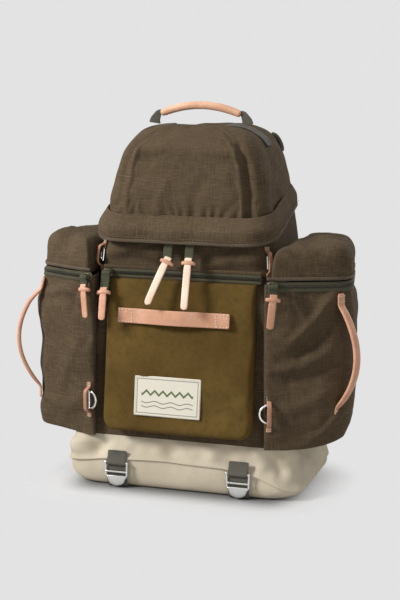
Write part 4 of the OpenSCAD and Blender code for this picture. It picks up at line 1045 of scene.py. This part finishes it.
corner_way = unit(np.array([1, -1, 0]))
corner_half, corner_r, corner_y = body_corner(295.5)
corner_at = np.array([corner_half - corner_r, corner_y + corner_r, 295.5]) + corner_r * corner_way
tilt = math.atan((47 * corner_way[0] - 20 * corner_way[1] - 8) / body_high)
carry_bow = 27
carry_arm = np.array([math.cos(math.radians(-28)), math.sin(math.radians(-28)), 0])
carry_across = np.cross(up, carry_arm)
carry_z = np.linspace(102, 262, 33)
carry_out = carry_bow * np.sin(np.clip((carry_z - 118) / 128, 0, 1) * math.pi) ** 0.8
carry_wide = np.interp(carry_z, (102, 112, 122, 182, 242, 252, 262), (12, 12, 11, 10.6, 11, 12, 12))
carry_thick = np.interp(carry_z, (102, 116, 130, 182, 234, 248, 262), (3.2, 3.4, 5.2, 5.6, 5.2, 3.4, 3.2))
for label, side, fullness, zip_place in (("left", -1, 0.5, 7), ("right", 1, 1.0, 12)):
    mirror = np.array([side, 1, 1])

    def slumped(points):
        """How this pocket sags: the left one leans in at its top, the right one draws up its outer foot."""
        outside = ((points[..., 0] - 150) / 55).clip(0, 1)
        low = np.exp(-(points[..., 2] - base_top) / 45)
        lean = -12 * ((points[..., 2] - 232) / 44).clip(0, 1) if side < 0 else -6 * low
        lift = 11 * outside * low if side > 0 else 0 * low
        return (points + np.stack([outside * lean, 0 * outside, outside * lift], -1)) * mirror

    def handed(rows):
        return slumped(rows)[:, ::side]

    pouch, top = f"side_pocket_{label}", f"side_top_{label}"
    seed = 3.0 + side
    plump = belly + 2.2 * billow(pouch_rows, 21, seed) + 0.8 * billow(pouch_rows, 60, seed + 5)
    shape = (1.4 * pouch_shapes[label] + fullness * plump) * showing * near_ends
    held = np.maximum(1 - showing, np.minimum(1, np.abs(near_ends - 1) * 4))[:, ::side] > 0.6
    rows = handed(pouch_rows + pouch_out * shape[:, :, None])
    shell(f"side_pouch_{label}", rows, canvas, pouch, "canvas", pouch, around=True, lids=(True, False),
          wall=2, held=[*held.ravel(), 1], puff=(2.0, 0.02, 3))
    plump = 1.4 * billow(top_rows, 24, seed + 2) + 0.6 * billow(top_rows, 70, seed + 3)
    shape = (1.3 * top_shapes[label] + plump) * top_showing * top_free
    held = (1 - top_showing > 0.8)[:, ::side]
    held[0] = True
    rows = handed(top_rows + top_out * shape[:, :, None])
    shell(f"side_crown_{label}", rows, canvas, top, "canvas", top, around=True, lids=(False, True),
          wall=2, held=[*held.ravel(), 0], puff=(1.5, 0.02, 2.5))

    shell(f"side_zip_tape_{label}", handed(tape_rows), zip_tape, pouch, "zip_tape", f"side_zip_{label}",
          levels=0, wall=0.8)
    teeth = slumped(at_height(zip_line + zip_normal * 1.4, 270.8))
    beads(f"side_zip_teeth_{label}", [teeth], 1.8, (1.2, 4, 2), coil, pouch, "zip_tape")
    welt = slumped(at_height(zip_line + zip_normal * 0.9, 280.2))
    ribbon(f"side_top_welt_{label}", welt, up, 4.6, 2.6, binding, top, "canvas", square=3, around=8)
    seam_ends = (np.array([side * 160, side_back + 0.5, z]) for z in (273, 279))
    hinged(f"side_seam_{label}", handed(flap_rows), pouch, top, *seam_ends)

    right = np.array([face_dir[0], side * face_dir[1], 0])
    out = np.array([side * face_out[0], face_out[1], 0])
    place = np.array([*(corner_a + zip_place * face_dir + 1.6 * face_out), 276]) * mirror
    bar = slider(f"side_slider_{label}", place, right, up)
    pull(f"side_pull_{label}", bar, -up, right, 16, 44, 6 * side, leather)
    loop_at = np.array([*(corner_a + 9 * face_dir), 112]) * mirror
    sewn_loop(f"pocket_loop_leather_{label}", loop_at, out, right, up, 23, pouch)
    corner_rise = (up * math.cos(tilt) - corner_way * math.sin(tilt)) * mirror
    corner_out = (corner_way * math.cos(tilt) + up * math.sin(tilt)) * mirror
    corner_right = np.cross(corner_rise, corner_out)
    sewn_loop(f"corner_loop_leather_{label}", corner_at * mirror, corner_out, corner_right, corner_rise,
              20, "pack")

    middle = np.mean(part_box(f"carry_handle_{label}"), axis=0) * [1, 1, 0] / mm * mirror
    carry_foot = middle - carry_arm * (carry_bow / 2)
    carry = slumped(carry_foot + carry_arm * carry_out[:, None] + up * carry_z[:, None])
    ribbon(f"carry_leather_{label}", carry, carry_across * mirror, carry_wide, carry_thick, leather,
           pouch, "leather", f"carry_handle_{label}", square=3)
    sewn = [[slumped(carry_foot + carry_arm * 2.2 + carry_across * x + up * z) for x in (-4, -2, 0, 2, 4)]
            for z in (105, 112, 252, 259)]
    beads(f"carry_stitches_{label}", sewn, 2.6, (2, 0.8, 0.8), cream_thread, pouch, "leather")


# Hardware: nickel-plated rings and ladder-lock buckles, bright with fine scratches.
# The rings and the shoulder buckles are the CAD's own.
plated = finish("nickel_plate", lambda tone, uv, place: {
    "Base Color": place.grain(60, 3).between((206, 205, 202), (228, 227, 224)), "Metallic": 1.0,
    "Roughness": 0.14 + 0.16 * place.scaled(1, 1, 12).grain(90, 3), "height": place.grain(500)}, 0.00005)
for name in ("corner_ring", "d_ring", "strap_buckle"):
    for label in ("left", "right"):
        metal = nodes[f"{name}_{label}"]
        metal.data.materials.clear()
        metal.data.materials.append(plated)


# Base straps: grey webbing that runs under the base and up its front to a ladder-lock,
# with a short stub above it. Each ladder-lock has two bars between its rails and a scalloped tab
# to lift it by.
strap_route = [(87.4, 52), (87.4, 40), (87.2, 20), (86.4, 6), (83.4, 1.8), (40, 1.4), (0, 1.4), (-60, 1.4),
               (-104, 1.4), (-110, 3), (-112.2, 9), (-113, 16), (-113.6, 23), (-113.8, 29)]
stub_route = [(-110.4, 48), (-112.3, 41), (-114, 37.5), (-116, 35.6), (-118.4, 33), (-116.4, 30.4),
              (-114.4, 31.6), (-113.6, 36)]
tab_profile = [(-30.1, 2.4), (-29.3, 6), (-27.6, 9.4), (-25, 11.4), (-22.2, 11.8), (-20.4, 13.2),
               (-18.4, 14.6), (-16.6, 14.4)]
tab_reach = np.linspace(-1, 1, 13)
for label, side in (("left", -1), ("right", 1)):
    under, stub = (curve([(side * strap_x, y, z) for y, z in route], 5)
                   for route in (strap_route, stub_route))
    ribbon(f"base_web_{label}", under, along_x, 27, 1.9, webbing, "pack", "webbing", f"base_strap_{label}",
           square=6, around=16)
    ribbon(f"base_stub_{label}", stub, along_x, 26, 1.5, webbing, "pack", "webbing", square=6, around=16)
    buckle = f"base_buckle_{label}"
    bar_place = np.array([side * strap_x, -116, 33])

    def rod(name, first, last, across, wide, *stands_for):
        path = [bar_place + first + np.subtract(last, first) * t for t in (0, 0.02, 0.5, 0.98, 1)]
        ribbon(f"buckle_{name}_{label}", path, across, wide, 2.6, plated, buckle, "steel", *stands_for,
               square=2.6, around=12)

    rod("bar", (-16, 0, 0), (16, 0, 0), up, 3.6, buckle)
    rod("rung", (-15, -0.2, -11.6), (15, -0.2, -11.6), up, 2.8)
    for end in (-1, 1):
        rod(f"rail_{end}", (end * 14.6, 0, 1), (end * 14.2, 0, -18), along_x, 2.6)
    tab_rows = [[(half * part, -1.2 + 0.8 * part ** 2, z) for part in tab_reach] for z, half in tab_profile]
    shell(f"buckle_tab_{label}", bar_place + np.array(tab_rows), plated, buckle, "steel", wall=1.8)


# Carrying system: a quilted back pad, two padded shoulder straps with bound edges,
# and their lower webbing, which runs from the buckles to the foot of the back.
pad_x, pad_z = np.linspace(-1, 1, 44), np.linspace(-1, 1, 50)
squeeze = np.maximum((1 - np.abs(pad_z) ** 9) ** (1 / 9), 0.72)
pad_flat = np.broadcast_arrays(pad_x * 104 * squeeze[:, None], 0.0, 201 + pad_z[:, None] * 116)
pad_rows = np.stack(pad_flat, -1)
edge = np.minimum(1 - np.abs(pad_x)[None, :], 1 - np.abs(pad_z)[:, None]).clip(0, 1)
swell = 11 * (1 - (1 - np.minimum(edge * 7, 1)) ** 2) ** 0.5
channels = sum(np.exp(-((pad_rows[:, :, 2] - z) / 3.5) ** 2) for z in (132, 166, 201, 236, 270))
pad_rows[:, :, 1] = 82.6 + swell - 5 * channels * np.minimum(1, edge * 6)
held = np.maximum(channels > 0.6, edge < 0.02)
back_pad = shell("back_cushion", pad_rows[:, ::-1], canvas, "pack", "canvas", "back_pad",
                 held=held[:, ::-1].ravel(), puff=(4.0, 0.02, 4))
t = np.linspace(0, 1, 41)
wide, thick = 62 - 14 * t, 11.5 - 1.5 * (2 * t - 1) ** 8
for label, side in (("left", -1), ("right", 1)):
    path = np.column_stack([side * (50 + 34 * t ** 1.4), 88.3 + 14.9 * t + 32 * np.sin(t * math.pi),
                            352 - 200 * t])
    pad = ribbon(f"shoulder_pad_{label}", path, along_x, wide - 2, thick, canvas, "pack", "canvas",
                 f"shoulder_strap_{label}", square=2.8, around=26)
    along = np.gradient(path, axis=0)
    sideways = unit(along_x - along * (along[:, :1] / (along ** 2).sum(1, keepdims=True)))
    for end in (-1, 1):
        edge_path = path + sideways * (end * (wide / 2 - 1.2))[:, None]
        ribbon(f"shoulder_binding_{label}_{end}", edge_path, (0, 1, 0), 5, 3.4, binding, "pack", "canvas",
               square=2.4, around=10)
    out = unit(np.cross(along, sideways))
    out *= np.sign(out[:, 1:2])
    top_tape = (path + out * (thick / 2 + 0.6)[:, None])[3:]
    bar = np.array([side * 84, 103.2, 145.5])
    loop = curve([bar + [0, y, z] for y, z in ((2.2, 8), (3, 2), (0, -3.1), (-3, 1), (-1.6, 8))], 6)
    tail = curve([bar + [0, 0, -26], bar + [side * 6, -3.5, -44], bar + [side * 19, -9.5, -76],
                  (side * 116, 87.4, 44)])
    ribbon(f"shoulder_tape_{label}", top_tape, along_x, 25, 1.6, webbing, "pack", "webbing", square=6)
    ribbon(f"strap_loop_{label}", loop, along_x, 24.4, 1.4, webbing, "pack", "webbing", square=6)
    ribbon(f"strap_web_{label}", tail, along_x, 25, 1.8, webbing, "pack", "webbing", f"strap_tail_{label}",
           square=6)

size = [list(cad_low), list(cad_high)]
